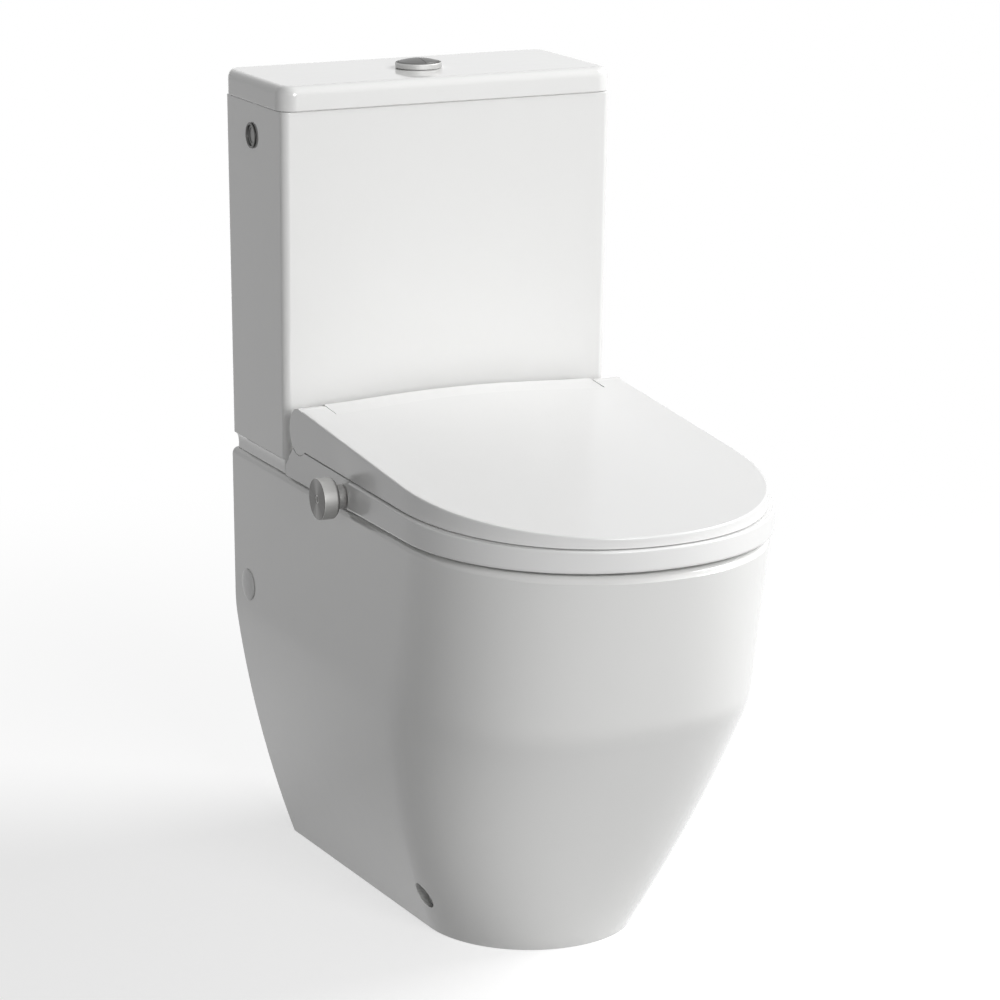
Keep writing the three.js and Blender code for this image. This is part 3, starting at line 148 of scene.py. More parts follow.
SEAT_PAD_PLACES, SEAT_PAD_RADIUS = ((150, 360), (75, 592)), 8
LID_PAD = Sizes(x=120, line=560, radius=6)
FITTING = Sizes(eased=.35, eased_angle=30, weld=.01, flat_angle=.5)


# Meshes
def metres(points):
    """Millimetres from the wall as metres of the frame."""
    return (np.asarray(points, float) + (0, WALL / MM, 0)) * MM


def linked(name, data):
    """A new object in the scene."""
    made = bpy.data.objects.new(name, data)
    bpy.context.scene.collection.objects.link(made)
    return made


def piece(name, points, faces):
    mesh = bpy.data.meshes.new(name)
    mesh.from_pydata(metres(points).tolist(), [], faces)
    return linked(name, mesh)


def baked(obj):
    """The same object with its modifiers made part of its mesh."""
    bpy.context.view_layer.update()
    finished = obj.evaluated_get(bpy.context.evaluated_depsgraph_get())
    mesh = bpy.data.meshes.new_from_object(finished)
    obj.modifiers.clear()
    obj.data = mesh
    return obj


def merge(how, body, *others):
    """Joins to the first solid, or cuts from it, all the others, which are used up."""
    for other in others:
        step = body.modifiers.new(how, "BOOLEAN")
        step.operation, step.solver, step.object = how, "MANIFOLD", other
    baked(body)
    for other in others:
        bpy.data.objects.remove(other)
    return body


def joined(body, *others):
    return merge("UNION", body, *others)


def cut(body, *others):
    return merge("DIFFERENCE", body, *others)


def both(made):
    """A piece and its copy on the other side of the middle plane."""
    mesh = made.data.copy()
    mesh.transform(Matrix.Scale(-1, 4, (1, 0, 0)))
    mesh.flip_normals()
    return made, linked(made.name, mesh)


def loft(rings, head=None, name="form"):
    """Rings of points joined one after another, closed by a fan at each end."""
    rings = np.asarray(rings, float)
    count, sides = rings.shape[:2]
    ends = [rings[0].mean(0), rings[-1].mean(0) if head is None else head]
    points = np.vstack([rings.reshape(-1, 3), ends])
    first, last = count * sides, count * sides + 1
    faces = []
    for side in range(sides):
        after = (side + 1) % sides
        for low in range(0, (count - 1) * sides, sides):
            faces.append((low + side, low + after, low + sides + after, low + sides + side))
        faces.append((first, after, side))
        faces.append((last, first - sides + side, first - sides + after))
    return piece(name, points, faces)


def block(x, y, z):
    """A box between two values along each axis."""
    (x0, x1), (y0, y1), (z0, z1) = sorted(x), sorted(y), sorted(z)
    ring = [(x0, y0), (x1, y0), (x1, y1), (x0, y1)]
    return loft([[(px, py, level) for px, py in ring] for level in (z0, z1)])


def bar(axis, ends, middle, radius, sides=ROUND):
    """A round bar along one axis; middle gives its place along the two others, in x, y, z order."""
    turns = np.arange(sides) * 2 * math.pi / sides
    along, first, second = (("xyz".index(axis) + step) % 3 for step in range(3))
    rings = np.zeros((2, sides, 3)) + np.insert(np.array(middle, float), along, 0)
    rings[:, :, along] = np.sort(ends)[:, None]
    rings[:, :, first] += radius * np.cos(turns)
    rings[:, :, second] += radius * np.sin(turns)
    return loft(rings)


def slab(outline, x0, x1):
    """An outline of (y, z) points, extruded along x."""
    count = len(outline)
    points = [(x, y, z) for x in (x0, x1) for y, z in outline]
    area = sum(a[0] * b[1] - b[0] * a[1] for a, b in zip(outline, outline[1:] + outline[:1]))
    order = list(range(count)) if area > 0 else list(range(count))[::-1]
    faces = [tuple(order[::-1]), tuple(index + count for index in order)]
    for place in range(count):
        here, after = order[place], order[(place + 1) % count]
        faces.append((here, after, after + count, here + count))
    return piece("form", points, faces)


def smooth_rows(rows, count):
    """Rows of numbers with more in between, on a smooth curve through them."""
    rows = np.asarray(rows, float)
    slopes = np.gradient(rows, axis=0)
    made = []
    for place in np.linspace(0, len(rows) - 1, count):
        index = min(int(place), len(rows) - 2)
        share = place - index
        low, high = rows[index], rows[index + 1]
        rise, fall = slopes[index], slopes[index + 1]
        cubic = ((1 + 2 * share) * low + share * rise) * (1 - share) ** 2
        made.append(cubic + ((3 - 2 * share) * high + (share - 1) * fall) * share ** 2)
    return np.array(made)


def plan_ring(plan, inset, back, height, steps=FINE, side_steps=10):
    """A plan outline: straight sides from the back, then a rounded front, drawn left to right."""
    side, rear = plan.side - inset, plan.rear - inset
    nose = plan.front - inset - plan.straight
    shares = np.arange(side_steps) / side_steps
    left = [(-mixed(rear, side, share), mixed(back, -plan.straight, share)) for share in shares]
    turns = math.pi * (np.arange(steps + 1) / steps - .5)
    wide = np.sign(turns) * np.abs(np.sin(turns)) ** (2 / plan.power)
    deep = np.maximum(np.cos(turns), 0) ** (2 / plan.power)
    front = list(zip(side * wide, -plan.straight - nose * deep))
    outline = left + front + [(-x, y) for x, y in left[::-1]]
    return [(x, y, height(x, y) if callable(height) else height) for x, y in outline]


def oval_ring(half, length, centre, power, z, sides=FINE):
    turns = np.arange(sides) * 2 * math.pi / sides
    wide = half * np.sign(np.cos(turns)) * np.abs(np.cos(turns)) ** (2 / power)
    deep = length * np.sign(np.sin(turns)) * np.abs(np.sin(turns)) ** (2 / power)
    return [(x, centre + y, z(x, centre + y) if callable(z) else z) for x, y in zip(wide, deep)]


def box_ring(half, front, back, corner, z):
    """A rectangle with rounded corners, from the wall side to the front."""
    ring = []
    for side_x, side_y, start in ((-1, 1, 90), (-1, -1, 180), (1, -1, 270), (1, 1, 0)):
        middle = (side_x * (half - corner), back - corner if side_y > 0 else corner - front)
        for step in range(ARC + 1):
            turn = math.radians(start + 90 * step / ARC)
            ring.append((middle[0] + corner * math.cos(turn), middle[1] + corner * math.sin(turn), z))
    return ring


def arc_steps(count=ARC):
    """Pairs of (1 - cos, 1 - sin) along a quarter turn, to round an edge."""
    turns = np.linspace(0, math.pi / 2, count)
    return list(zip(1 - np.cos(turns), 1 - np.sin(turns)))


def route(y, z, moves, step=6):
    """The way of a pipe in the middle plane. A move is (length, 0) or (turn, radius)."""
    points, heading = [(y, z)], 0
    for amount, radius in moves:
        count = max(1, math.ceil(abs(amount) / math.radians(step))) if radius else 1
        for _ in range(count):
            half = amount / count / 2 if radius else 0
            length = 2 * radius * math.sin(abs(half)) if radius else amount
            heading += half
            y, z = y + length * math.cos(heading), z + length * math.sin(heading)
            points.append((y, z))
            heading += half
    return points


def pipe(way, radius, sides=ROUND):
    turns = np.arange(sides) * 2 * math.pi / sides
    rings = []
    for index, (y, z) in enumerate(way):
        before, after = way[max(index - 1, 0)], way[min(index + 1, len(way) - 1)]
        lean = math.atan2(after[1] - before[1], after[0] - before[0])
        wide, high = radius * np.sin(turns), radius * np.cos(turns)
        rings.append(np.stack([wide, y - high * math.sin(lean), z + high * math.cos(lean)], 1))
    return loft(rings)


# The china pan
def raw_plan(z):
    """The pan's outline at a height, with a sharp crease."""
    if z >= CREASE_Z:
        return PAN_CREASE.mixed(PAN_RIM, (z - CREASE_Z) / (RIM_Z - CREASE_Z))
    share = z / CREASE_Z
    bulge = 4 * share * (1 - share)
    plan = PAN_FOOT.mixed(PAN_CREASE, share + SKIRT_BULGE.side * bulge, share + SKIRT_BULGE.front * bulge)
    plan.rear = mixed(PAN_FOOT.rear, PAN_CREASE.rear, share + SKIRT_BULGE.rear * bulge)
    return plan


def pan_plan(z):
    """The outline with the crease eased, as glaze leaves it."""
    near = [raw_plan(z + shift).__dict__ for shift in np.linspace(-CREASE_SOFT, CREASE_SOFT, 7)]
    return Sizes(**{name: sum(plan[name] for plan in near) / len(near) for name in near[0]})


def pan_levels(top):
    lower = np.linspace(0, CREASE_Z - 2 * CREASE_SOFT, 22)
    crease = np.linspace(CREASE_Z - 1.5 * CREASE_SOFT, CREASE_Z + 1.5 * CREASE_SOFT, 9)
    upper = np.linspace(CREASE_Z + 2.5 * CREASE_SOFT, top, 10)
    return [*lower, *crease, *upper]


def pan_skirt():
    straight_top = RIM_Z - PAN.edge
    rings = [plan_ring(pan_plan(z), 0, 0, z) for z in pan_levels(straight_top)]
    for inset, _ in arc_steps()[1:]:
        z = straight_top + PAN.edge * math.sqrt(1 - (1 - inset) ** 2)
        rings.append(plan_ring(pan_plan(min(z, RIM_Z - CREASE_SOFT)), PAN.edge * inset, 0, z))
    inner_levels = [-OVER, *pan_levels(RIM_Z - PAN.deck)[::3], RIM_Z - PAN.deck]
    inner = [plan_ring(pan_plan(max(z, 0)), PAN.wall, OVER, z, steps=36, side_steps=4) for z in inner_levels]
    return cut(loft(rings, name="pan_glazed"), loft(inner))


def bowl_form(wall, top):
    """The bowl's inside or, with its wall, its outside."""
    rim_centre, rim_length = -(BOWL.back + BOWL.front) / 2, (BOWL.front - BOWL.back) / 2
    rings = []
    for rise, half, length in smooth_rows(BOWL_SHARES, 40 if not wall else 20):
        z = mixed(BOWL.floor - wall, top, rise)
        centre = mixed(-BOWL.sump, rim_centre, rise)
        rings.append(oval_ring(BOWL.half * half + wall, rim_length * length + wall, centre, BOWL.power, z))
    return loft(rings)


def bowl_lip():
    """Rounds the edge where the bowl meets the rim."""
    centre, length = -(BOWL.back + BOWL.front) / 2, (BOWL.front - BOWL.back) / 2
    rings = []
    for _, low in arc_steps():
        out = BOWL.lip * (1 - math.sqrt(1 - (1 - low) ** 2))
        rings.append(oval_ring(BOWL.half + out, length + out, centre, BOWL.power, RIM_Z - BOWL.lip * low))
    rings.append(oval_ring(BOWL.half + BOWL.lip, length + BOWL.lip, centre, BOWL.power, RIM_Z + OVER))
    return loft(sorted(rings, key=lambda ring: ring[0][2]))


def trap_way(extra):
    rise = 1 - math.cos(TRAP.slope)
    up = (TRAP.weir - TRAP.start - rise * (TRAP.low + TRAP.top)) / math.sin(TRAP.slope)
    down = (TRAP.weir - TRAP.outlet - rise * (TRAP.top + TRAP.end)) / math.sin(TRAP.slope)
    across = (TRAP.low + 2 * TRAP.top + TRAP.end) * math.sin(TRAP.slope)
    length = across + (up + down) * math.cos(TRAP.slope) + TRAP.run
    return route(-TRAP.back - length, TRAP.start, [
        (TRAP.slope, TRAP.low), (up, 0), (-2 * TRAP.slope, TRAP.top), (down, 0), (TRAP.slope, TRAP.end),
        (TRAP.run + extra, 0)])


def inlet_way(extra):
    start = -BOWL.back - BOWL.wall
    run = -INLET.line - INLET.bend - start
    rise = RIM_Z - INLET.level - INLET.bend
    return route(start - extra, INLET.level, [
        (run + extra, 0), (math.pi / 2, INLET.bend), (rise + extra, 0)])


def make_pan():
    top, wall, half = RIM_Z, PAN.wall, PAN.bay_half
    deck_foot = top - PAN.deck - wall
    bay = block((-half - wall, half + wall), (-PAN.bay_front, -PAN.bay_back + wall),
                (PAN.bay_floor - wall, top - wall))
    collar = bar("y", (-TRAP.back - TRAP.collar_long, -TRAP.back), (0, TRAP.outlet), TRAP.collar, FINE)
    socket = bar("z", (deck_foot, top - PAN.edge), (0, -INLET.line), INLET.bore + INLET.wall)
    body = joined(pan_skirt(), bowl_form(BOWL.wall, top - wall), bay, socket, collar,
                  pipe(trap_way(0), TRAP.bore + TRAP.wall),
                  pipe(inlet_way(-PAN.edge), INLET.bore + INLET.wall))
    body = cut(body, bowl_form(0, top + .01), bowl_lip(),
               block((-half, half), (-PAN.bay_front, -PAN.bay_back), (PAN.bay_floor, top + OVER)),
               pipe(trap_way(OVER), TRAP.bore), pipe(inlet_way(OVER), INLET.bore))
    for bolt in (SEAT_BOLT, TANK_BOLT):
        cut(body, *both(bar("z", (deck_foot - OVER, top + OVER), (bolt.x, -bolt.line), bolt.bore)))
    screw_place = (-FLOOR_SCREW.line, FLOOR_SCREW.z)
    cut(body, *both(bar("x", (BOWL.half / 2, FAR), screw_place, FLOOR_SCREW.bore, FINE)))
    cut(body, *both(bar("x", (BOWL.half, FAR), (-SIDE_CAP.line, SIDE_CAP.z), SIDE_CAP.bore)))
    return body


# The china tank and its cover
def tank_share(z):
    """How far up the tank's tapered side a height is."""
    return (z - GROOVE_TOP) / (TANK_TOP - GROOVE_TOP)


def tank_ring(z, inset, back=0):
    half = mixed(TANK.low_half, TANK.half, tank_share(z)) - inset
    return box_ring(half, mixed(TANK.low_depth, TANK.depth, tank_share(z)) - inset, back, TANK.corner, z)


def make_tank():
    rings = [tank_ring(TANK_FOOT, TANK.foot_in), tank_ring(GROOVE_FOOT, TANK.foot_in)]
    for turn in np.linspace(.2, math.pi / 2, ARC):
        z = mixed(GROOVE_FOOT, GROOVE_TOP, math.sin(turn))
        rings.append(tank_ring(z, TANK.foot_in * math.cos(turn)))
    rings += [tank_ring(mixed(GROOVE_TOP, TANK_TOP, share), 0) for share in np.linspace(.04, .99, 24)]
    rings += [tank_ring(TANK_TOP - TANK.top_edge * low, TANK.top_edge * inset) for inset, low in arc_steps(5)]
    inside = loft([tank_ring(TANK_FOOT + TANK.floor, TANK.wall, -TANK.wall),
                   tank_ring(TANK_TOP + OVER, TANK.wall, -TANK.wall)])
    bolt_ends = (TANK_FOOT - OVER, TANK_FOOT + TANK.floor + OVER)
    return cut(
        loft(rings, name="tank_glazed"), inside,
        bar("z", (TANK_FOOT - OVER, TANK_FOOT + TANK.recess_deep), (0, -VALVE_LINE), TANK.recess),
        bar("z", (TANK_FOOT, bolt_ends[1]), (0, -VALVE_LINE), VALVE_SPIGOT + GAP),
        *both(bar("z", bolt_ends, (TANK_BOLT.x, -TANK_BOLT.line), TANK_BOLT.rod + GAP)),
        bar("x", (-TANK.half - OVER, -TANK.half / 2), (-PORT.line, PORT.z), PLUG.hole),
        bar("x", (TANK.half / 2, TANK.half + OVER), (-PORT.line, PORT.z), PORT.shank + GAP))


def cover_ring(z, inset):
    half = TANK.half + COVER.over - inset
    return box_ring(half, TANK.depth + COVER.over - inset, 0, TANK.corner + COVER.edge - inset, z)


def make_cover():
    rings = [cover_ring(COVER_FOOT + COVER.foot_edge * low, COVER.foot_edge * inset)
             for inset, low in arc_steps(5)][::-1]
    rings += [cover_ring(mixed(COVER_FOOT + COVER.side_foot, COVER_TOP - COVER.edge, share), 0)
              for share in (.1, .5, .9)]
    rings += [cover_ring(COVER_TOP - COVER.edge * low, COVER.edge * inset) for inset, low in arc_steps(10)]
    lip_in, lip_foot, ceiling = TANK.wall + RUN_GAP, COVER_FOOT - COVER.lip_deep, COVER_TOP - COVER.crown
    lip, hollow = (loft([tank_ring(level, inset, -inset) for level in (foot, ceiling)])
                   for inset, foot in ((lip_in, lip_foot), (lip_in + COVER.lip, lip_foot - OVER)))
    hole = bar("z", (COVER_FOOT, COVER_TOP + OVER), (0, -BUTTON.line), BUTTON.shank + GAP, FINE)
    return cut(joined(loft(rings, name="cover_glazed"), lip), hollow, hole)


# The washing seat
def parting_at(y):
    """The line where the lid parts from the ring and the housing."""
    return PARTING.nose + PARTING.slope * (PARTING.line + y)


def seam_at(y):
    """The top of the ring and of the housing under the lid."""
    return parting_at(y) - HOUSING.seam


def hinge_bar(x0, x1, radius, sides=FINE):
    """A round bar on the hinge line."""
    return bar("x", (x0, x1), (-HINGE.line, HINGE.z), radius, sides)


def hump_body(half, extra, foot, name="form"):
    """The strip behind the lid: flush with its top, rounded about the hinge in front and at the back."""
    radius, last = HINGE.hump + extra, math.radians(225)
    back, curve = -HINGE.line + HINGE.hump_back + extra, HINGE.hump_round + extra
    rings = []
    for x in np.linspace(-half, half, 33):
        reach = math.sqrt(radius ** 2 - (lid_top(x, -HINGE.line - radius) + extra - HINGE.z) ** 2)
        first = math.atan2(lid_top(x, -HINGE.line - reach) + extra - HINGE.z, -reach)
        rear = [(x, back - curve * inset, lid_top(x, back - curve) + extra - curve * low)
                for inset, low in arc_steps(12)]
        front = [(x, -HINGE.line + radius * math.cos(turn), HINGE.z + radius * math.sin(turn))
                 for turn in np.linspace(first, last, 30)]
        rings.append([(x, back, foot), *rear, *front, (x, front[-1][1], foot)])
    return loft(rings, name=name)


def make_housing():
    foot, top, wall, half = HOUSING_FOOT, HOUSING.hood_top, HOUSING.wall, HOUSING.half
    back, hood, front, cheek_front = -HOUSING.back, -HOUSING.hood_back, -HOUSING.front, -HOUSING.cheek_front
    under_lid = slab([(back, foot), (back, HOUSING.shoulder), (-HOUSING.tip, seam_at(-HOUSING.tip)),
                      (hood, seam_at(hood)), (front, top), (front, foot)], -half, half)
    cheek_in, strip_half = half - HOUSING.cheek, HINGE.half - HINGE.slit
    cheek = slab([(hood, foot), (hood, seam_at(hood)), (cheek_front, seam_at(cheek_front)),
                  (cheek_front, foot)], cheek_in, half)
    body = joined(hump_body(strip_half, 0, foot, name="housing_moulded"), under_lid, *both(cheek))
    room_half, low = HINGE.half - HOUSING.beam, foot - OVER
    room = joined(hump_body(room_half, -wall, low),
                  block((-room_half, room_half), (front + wall, hood), (low, top - wall)),
                  block((-room_half, room_half), (hood - wall, back - wall), (low, HOUSING.shoulder - wall)))
    trough = hinge_bar(HINGE.half - GAP, half + OVER, HINGE.ear + RUN_GAP)
    slot = block((HINGE.half + GAP, cheek_in - GAP), (front - OVER, -HINGE.line), (foot + wall, HINGE.z))
    cheek_room = block((cheek_in + wall, half - wall), (cheek_front + wall, front - wall),
                       (low, seam_at(cheek_front) - wall))
    pin_hole = hinge_bar(room_half - OVER, EAR_IN, HINGE.pin + GAP, ROUND)
    window = block((-WAND_WINDOW, WAND_WINDOW), (front - OVER, front + wall + OVER),
                   (low, foot + HOUSING.window))
    spindle = bar("x", (-half - OVER, -half + wall + OVER), (-KNOB.line, KNOB.z), KNOB.spindle + GAP)
    supply = bar("x", (half - wall - OVER, half + OVER), (-SUPPLY.line, SUPPLY.z), SUPPLY.radius + GAP)
    ribs = both(block((HOUSING.rib_line, HOUSING.rib_line + HOUSING.rib), (-SEAT_PLATE.front, back - wall),
                      (RIM_Z + 2 * GAP + SEAT_PLATE.thick, HINGE.z)))
    cut(body, room, *both(trough), *both(slot), *both(cheek_room), *both(pin_hole), window, spindle, supply)
    for rib in ribs:
        merge("INTERSECT", rib, hump_body(strip_half, -wall / 2, foot))
    return joined(body, *ribs)


def lid_top(x, y):
    """The lid's top: it rises to the back, with a crown that grows to the hinge and fades to the sides."""
    share = (y + LID.front) / (LID.front - HINGE.line)
    middle = max(1 - (x / HINGE.half) ** 2, 0) ** LID_FORM.crown_power
    return mixed(LID_FORM.nose, LID_FORM.back, share) + LID_FORM.crown * max(share, 0) * middle


def lid_ring(inset, back, height, steps=36):
    """The lid's outline, with points along its back too, where the top is crowned."""
    ring = plan_ring(LID, inset, back, height)
    return ring + [(x, back, height(x, back)) for x in np.linspace(ring[-1][0], ring[0][0], steps + 1)[1:-1]]


def lid_shell():
    back, edge, foot_edge = -HINGE.line, LID_FORM.edge, LID_FORM.foot_edge
    rings = [lid_ring(foot_edge * inset, back, lambda x, y, low=low: parting_at(y) + foot_edge * low)
             for inset, low in arc_steps(5)][::-1]
    rings += [lid_ring(edge * inset, back, lambda x, y, low=low: lid_top(x, y) - edge * low)
              for inset, low in arc_steps(10)]
    middle, rim = -(LID.front + HINGE.line) / 2, rings[-1]
    for share in np.linspace(.94, .06, 16):
        flat = [(x * share, mixed(middle, y, share)) for x, y, _ in rim]
        rings.append([(x, y, lid_top(x, y)) for x, y in flat])
    return loft(rings, head=(0, middle, lid_top(0, middle)), name="lid_moulded")


def lid_hollow():
    back, edge, wall = -HINGE.line + OVER, LID_FORM.edge, LID_FORM.wall
    return loft([lid_ring(wall, back, lambda x, y: parting_at(y) - OVER),
                 lid_ring(wall, back, lambda x, y: lid_top(x, y) - edge - wall / 2),
                 *[lid_ring(wall + edge * inset, back,
                            lambda x, y, low=low: lid_top(x, y) - wall - edge * low / 2)
                   for inset, low in arc_steps(6)]])


def hinge_wedge(x0, x1, radius):
    """The room that the ring's arm needs as it turns."""
    edge = [(-HINGE.line + radius * math.cos(turn), HINGE.z + radius * math.sin(turn))
            for turn in np.radians(np.linspace(*HINGE.sweep, 32))]
    return slab([(-HINGE.line, HINGE.z), *edge], x0, x1)


def make_lid():
    half, wall = HINGE.half + RUN_GAP + HINGE.slit / 2, LID_FORM.wall
    hood = hinge_bar(-half, half, HINGE.hump + RUN_GAP + wall)
    ear_block = block((half - wall, LID.side), (-HINGE.line - HINGE.ear, -HINGE.line + OVER),
                      (HINGE.z - HINGE.ear, LID_FORM.back + LID_FORM.crown))
    shell = cut(lid_shell(), cut(lid_hollow(), hood, *both(ear_block)))
    joined(shell, *both(hinge_bar(half, LID.side, HINGE.ear)))
    room = joined(hinge_bar(half - OVER, EAR_IN, HINGE.barrel + 3 * RUN_GAP),
                  hinge_wedge(half - wall - OVER, EAR_IN, HINGE.ear + wall + OVER))
    pin_end = HINGE.half - HOUSING.beam + HINGE.pin_long + GAP
    pin_hole = hinge_bar(ARM_IN, pin_end, HINGE.pin + GAP, ROUND)
    return cut(shell, hinge_bar(-half, half, HINGE.hump + 2 * RUN_GAP), *both(room), *both(pin_hole))


def make_ring():
    form, lip = RING_FORM, RING_FORM.lip
    centre, length = -(form.hole_back + form.hole_front) / 2, (form.hole_front - form.hole_back) / 2

    def body(plan, back, name="form"):
        rings = [plan_ring(plan, form.edge * inset, back, form.foot + form.edge * low)
                 for inset, low in arc_steps()][::-1]
        rings += [plan_ring(plan, form.top_edge * inset, back,
                            lambda x, y, low=low: seam_at(y) - form.top_edge * low)
                  for inset, low in arc_steps()]
        return loft(rings, name=name)

    def hole_ring(out, z):
        return oval_ring(form.hole_half + out, length + out, centre, form.hole_power, z)

    curve = [(level, lip - math.sqrt(lip * lip - level * level)) for level in np.linspace(0, lip, ARC)]
    hole = loft([hole_ring(lip, form.foot - OVER),
                 *[hole_ring(out, form.foot + level) for level, out in curve[::-1]],
                 *[hole_ring(out, lambda x, y, level=level: seam_at(y) - lip + level)
                   for level, out in curve],
                 hole_ring(lip, lambda x, y: seam_at(y) + OVER)])
    neck = RING.changed(rear=form.neck_half, side=form.neck_half,
                        front=RING.front - RING.side + form.neck_half)
    lean = math.atan2(HINGE.z - form.foot - HINGE.arm, form.neck_back - HINGE.line + HINGE.arm)
    across = np.array((math.sin(lean), -math.cos(lean))) * HINGE.arm / 2
    start = np.array((-HINGE.line, HINGE.z))
    end = np.array((-form.neck_back - HINGE.arm, form.foot + HINGE.arm))
    outline = [tuple(corner) for corner in (start + across, start - across, end - across, end + across)]
    arm = joined(hinge_bar(ARM_IN, ARM_OUT, HINGE.barrel, ROUND), slab(outline, ARM_IN, ARM_OUT))
    whole = joined(body(RING, -form.back, "ring_moulded"), body(neck, -form.neck_back), *both(arm))
    return cut(whole, hole, *both(hinge_bar(HINGE.half, EAR_IN, HINGE.pin + GAP, ROUND)))


# Node trees
def math_step(operation):
    return lambda *values: values[0].nodes.math(operation, *values)


class Wire:
    """A socket's value, so that an expression on it adds Math nodes to its tree."""

    __add__ = __radd__ = math_step("ADD")
    __mul__ = __rmul__ = math_step("MULTIPLY")
    __sub__, __truediv__ = math_step("SUBTRACT"), math_step("DIVIDE")
    __pow__, __abs__ = math_step("POWER"), math_step("ABSOLUTE")

    def __init__(self, nodes, socket):
        self.nodes, self.socket = nodes, socket

    def __rsub__(self, other):
        return self.nodes.math("SUBTRACT", other, self)


class Nodes:
    """Adds nodes to a tree: their settings first, then the values or links of their sockets."""

    def __init__(self, tree):
        self.tree = tree

    def add(self, kind, sockets=None, **settings):
        made = self.tree.nodes.new(kind)
        for name, value in settings.items():
            setattr(made, name, value)
        for name, value in (sockets or {}).items():
            if isinstance(value, Wire):
                value = value.socket
            if isinstance(value, bpy.types.NodeSocket):
                self.tree.links.new(value, made.inputs[name])
            else:
                made.inputs[name].default_value = value
        return made

    def out(self, kind, sockets=None, output=0, **settings):
        """One output of a new node."""
        return self.add(kind, sockets, **settings).outputs[output]

    def wire(self, kind, sockets=None, output=0, **settings):
        return Wire(self, self.out(kind, sockets, output, **settings))

    def math(self, operation, *values):
        return self.wire("ShaderNodeMath", dict(enumerate(values)), operation=operation)


def cleared(owner):
    """The node tree of a material or world, emptied."""
    owner.use_nodes = True
    owner.node_tree.nodes.clear()
    return owner.node_tree


# Finishes
class Finish(Nodes):
    """A material made of nodes round one Principled shader."""

    def __init__(self, name, constants):
        self.material = bpy.data.materials.new(name)
        super().__init__(cleared(self.material))
        self.shader = self.add("ShaderNodeBsdfPrincipled", constants)
        self.add("ShaderNodeOutputMaterial", {"Surface": self.shader.outputs[0]})
        self.place = self.out("ShaderNodeTexCoord", output="Object")

    def noise(self, scale, detail, roughness=.5, stretch=None):
        vector = self.place
        if stretch:
            vector = self.out("ShaderNodeMapping", {"Vector": vector, "Scale": stretch})
        return self.wire("ShaderNodeTexNoise", {"Vector": vector, "Scale": scale, "Detail": detail,
                                                "Roughness": roughness})

    def streaks(self, value, scale, detail):
        """Noise along one measure."""
        return self.wire("ShaderNodeTexNoise", {"W": value, "Scale": scale, "Detail": detail},
                         noise_dimensions="1D")

    def blend(self, factor, first, second):
        first, second = ((*color, 1) if isinstance(color, tuple) else color for color in (first, second))
        return self.out("ShaderNodeMix", {0: factor, 6: first, 7: second}, 2, data_type="RGBA")

    def paint(self, tone):
        self.tree.links.new(tone, self.shader.inputs["Base Color"])

    def color(self, factor, first, second):
        self.paint(self.blend(factor, first, second))

    def rough(self, value):
        self.tree.links.new(value.socket, self.shader.inputs["Roughness"])

    def bump(self, *heights):
        """Each height is (value, depth in metres, strength)."""
        below = {}
        for value, depth, strength in heights:
            normal = self.out("ShaderNodeBump", {"Height": value, "Distance": depth, "Strength": strength,
                                                 **below})
            below = {"Normal": normal}
        self.tree.links.new(normal, self.shader.inputs["Normal"])


def glaze(name, light, shade, roughness):
    """Fired glaze: a deep clear gloss over white china, faintly uneven in tone and in surface."""
    made = Finish(name, {"IOR": 1.52, "Coat Weight": .35, "Coat Roughness": .03, "Coat IOR": 1.5})
    cloud, ripple, grain = made.noise(4, 3), made.noise(22, 2), made.noise(190, 2)
    made.color(cloud * .7 + grain * .3, shade, light)
    made.rough(roughness + ripple * .03 + grain * .03)
    made.bump((ripple, .0009, .18), (grain, .00006, .25))
    return made.material


def moulded(name, light, shade, roughness, grain_size=600, grain_depth=.00003, coat=.1):
    """Moulded plastic: even in colour, with the fine texture of its mould."""
    made = Finish(name, {"IOR": 1.49, "Coat Weight": coat, "Coat Roughness": .12})
    flow, grain = made.noise(9, 2), made.noise(grain_size, 3)
    made.color(flow * .6 + grain * .4, shade, light)
    made.rough(roughness + flow * .05 + grain * .04)
    made.bump((flow, .0005, .1), (grain, grain_depth, .35))
    return made.material


def metal(name, light, shade, roughness, stretch=None, scale=260):
    """Plain metal with fine marks; stretch draws them out along one way, as brushing does."""
    made = Finish(name, {"Metallic": 1.0})
    marks, tarnish = made.noise(scale, 4, .6, stretch=stretch), made.noise(14, 3)
    made.color(marks * .5 + tarnish * .5, shade, light)
    made.rough(roughness + marks * .12 + tarnish * .06)
    made.bump((marks, .00004, .3))
    return made.material


def lathe_marks(made, centre, axis):
    """The offset from a point on the axis, the distance from the axis, and fine rings about it."""
    across = tuple(0 if letter == axis else 1 for letter in "xyz")
    offset = made.out("ShaderNodeVectorMath", {0: made.place, 1: centre}, operation="SUBTRACT")
    flat = made.out("ShaderNodeVectorMath", {0: offset, 1: across}, operation="MULTIPLY")
    away = made.wire("ShaderNodeVectorMath", {0: flat}, 1, operation="LENGTH")
    parts = made.add("ShaderNodeSeparateXYZ", {0: offset}).outputs
    return [Wire(made, part) for part in parts], away, made.streaks(away * 2600, 1.0, 3.0)


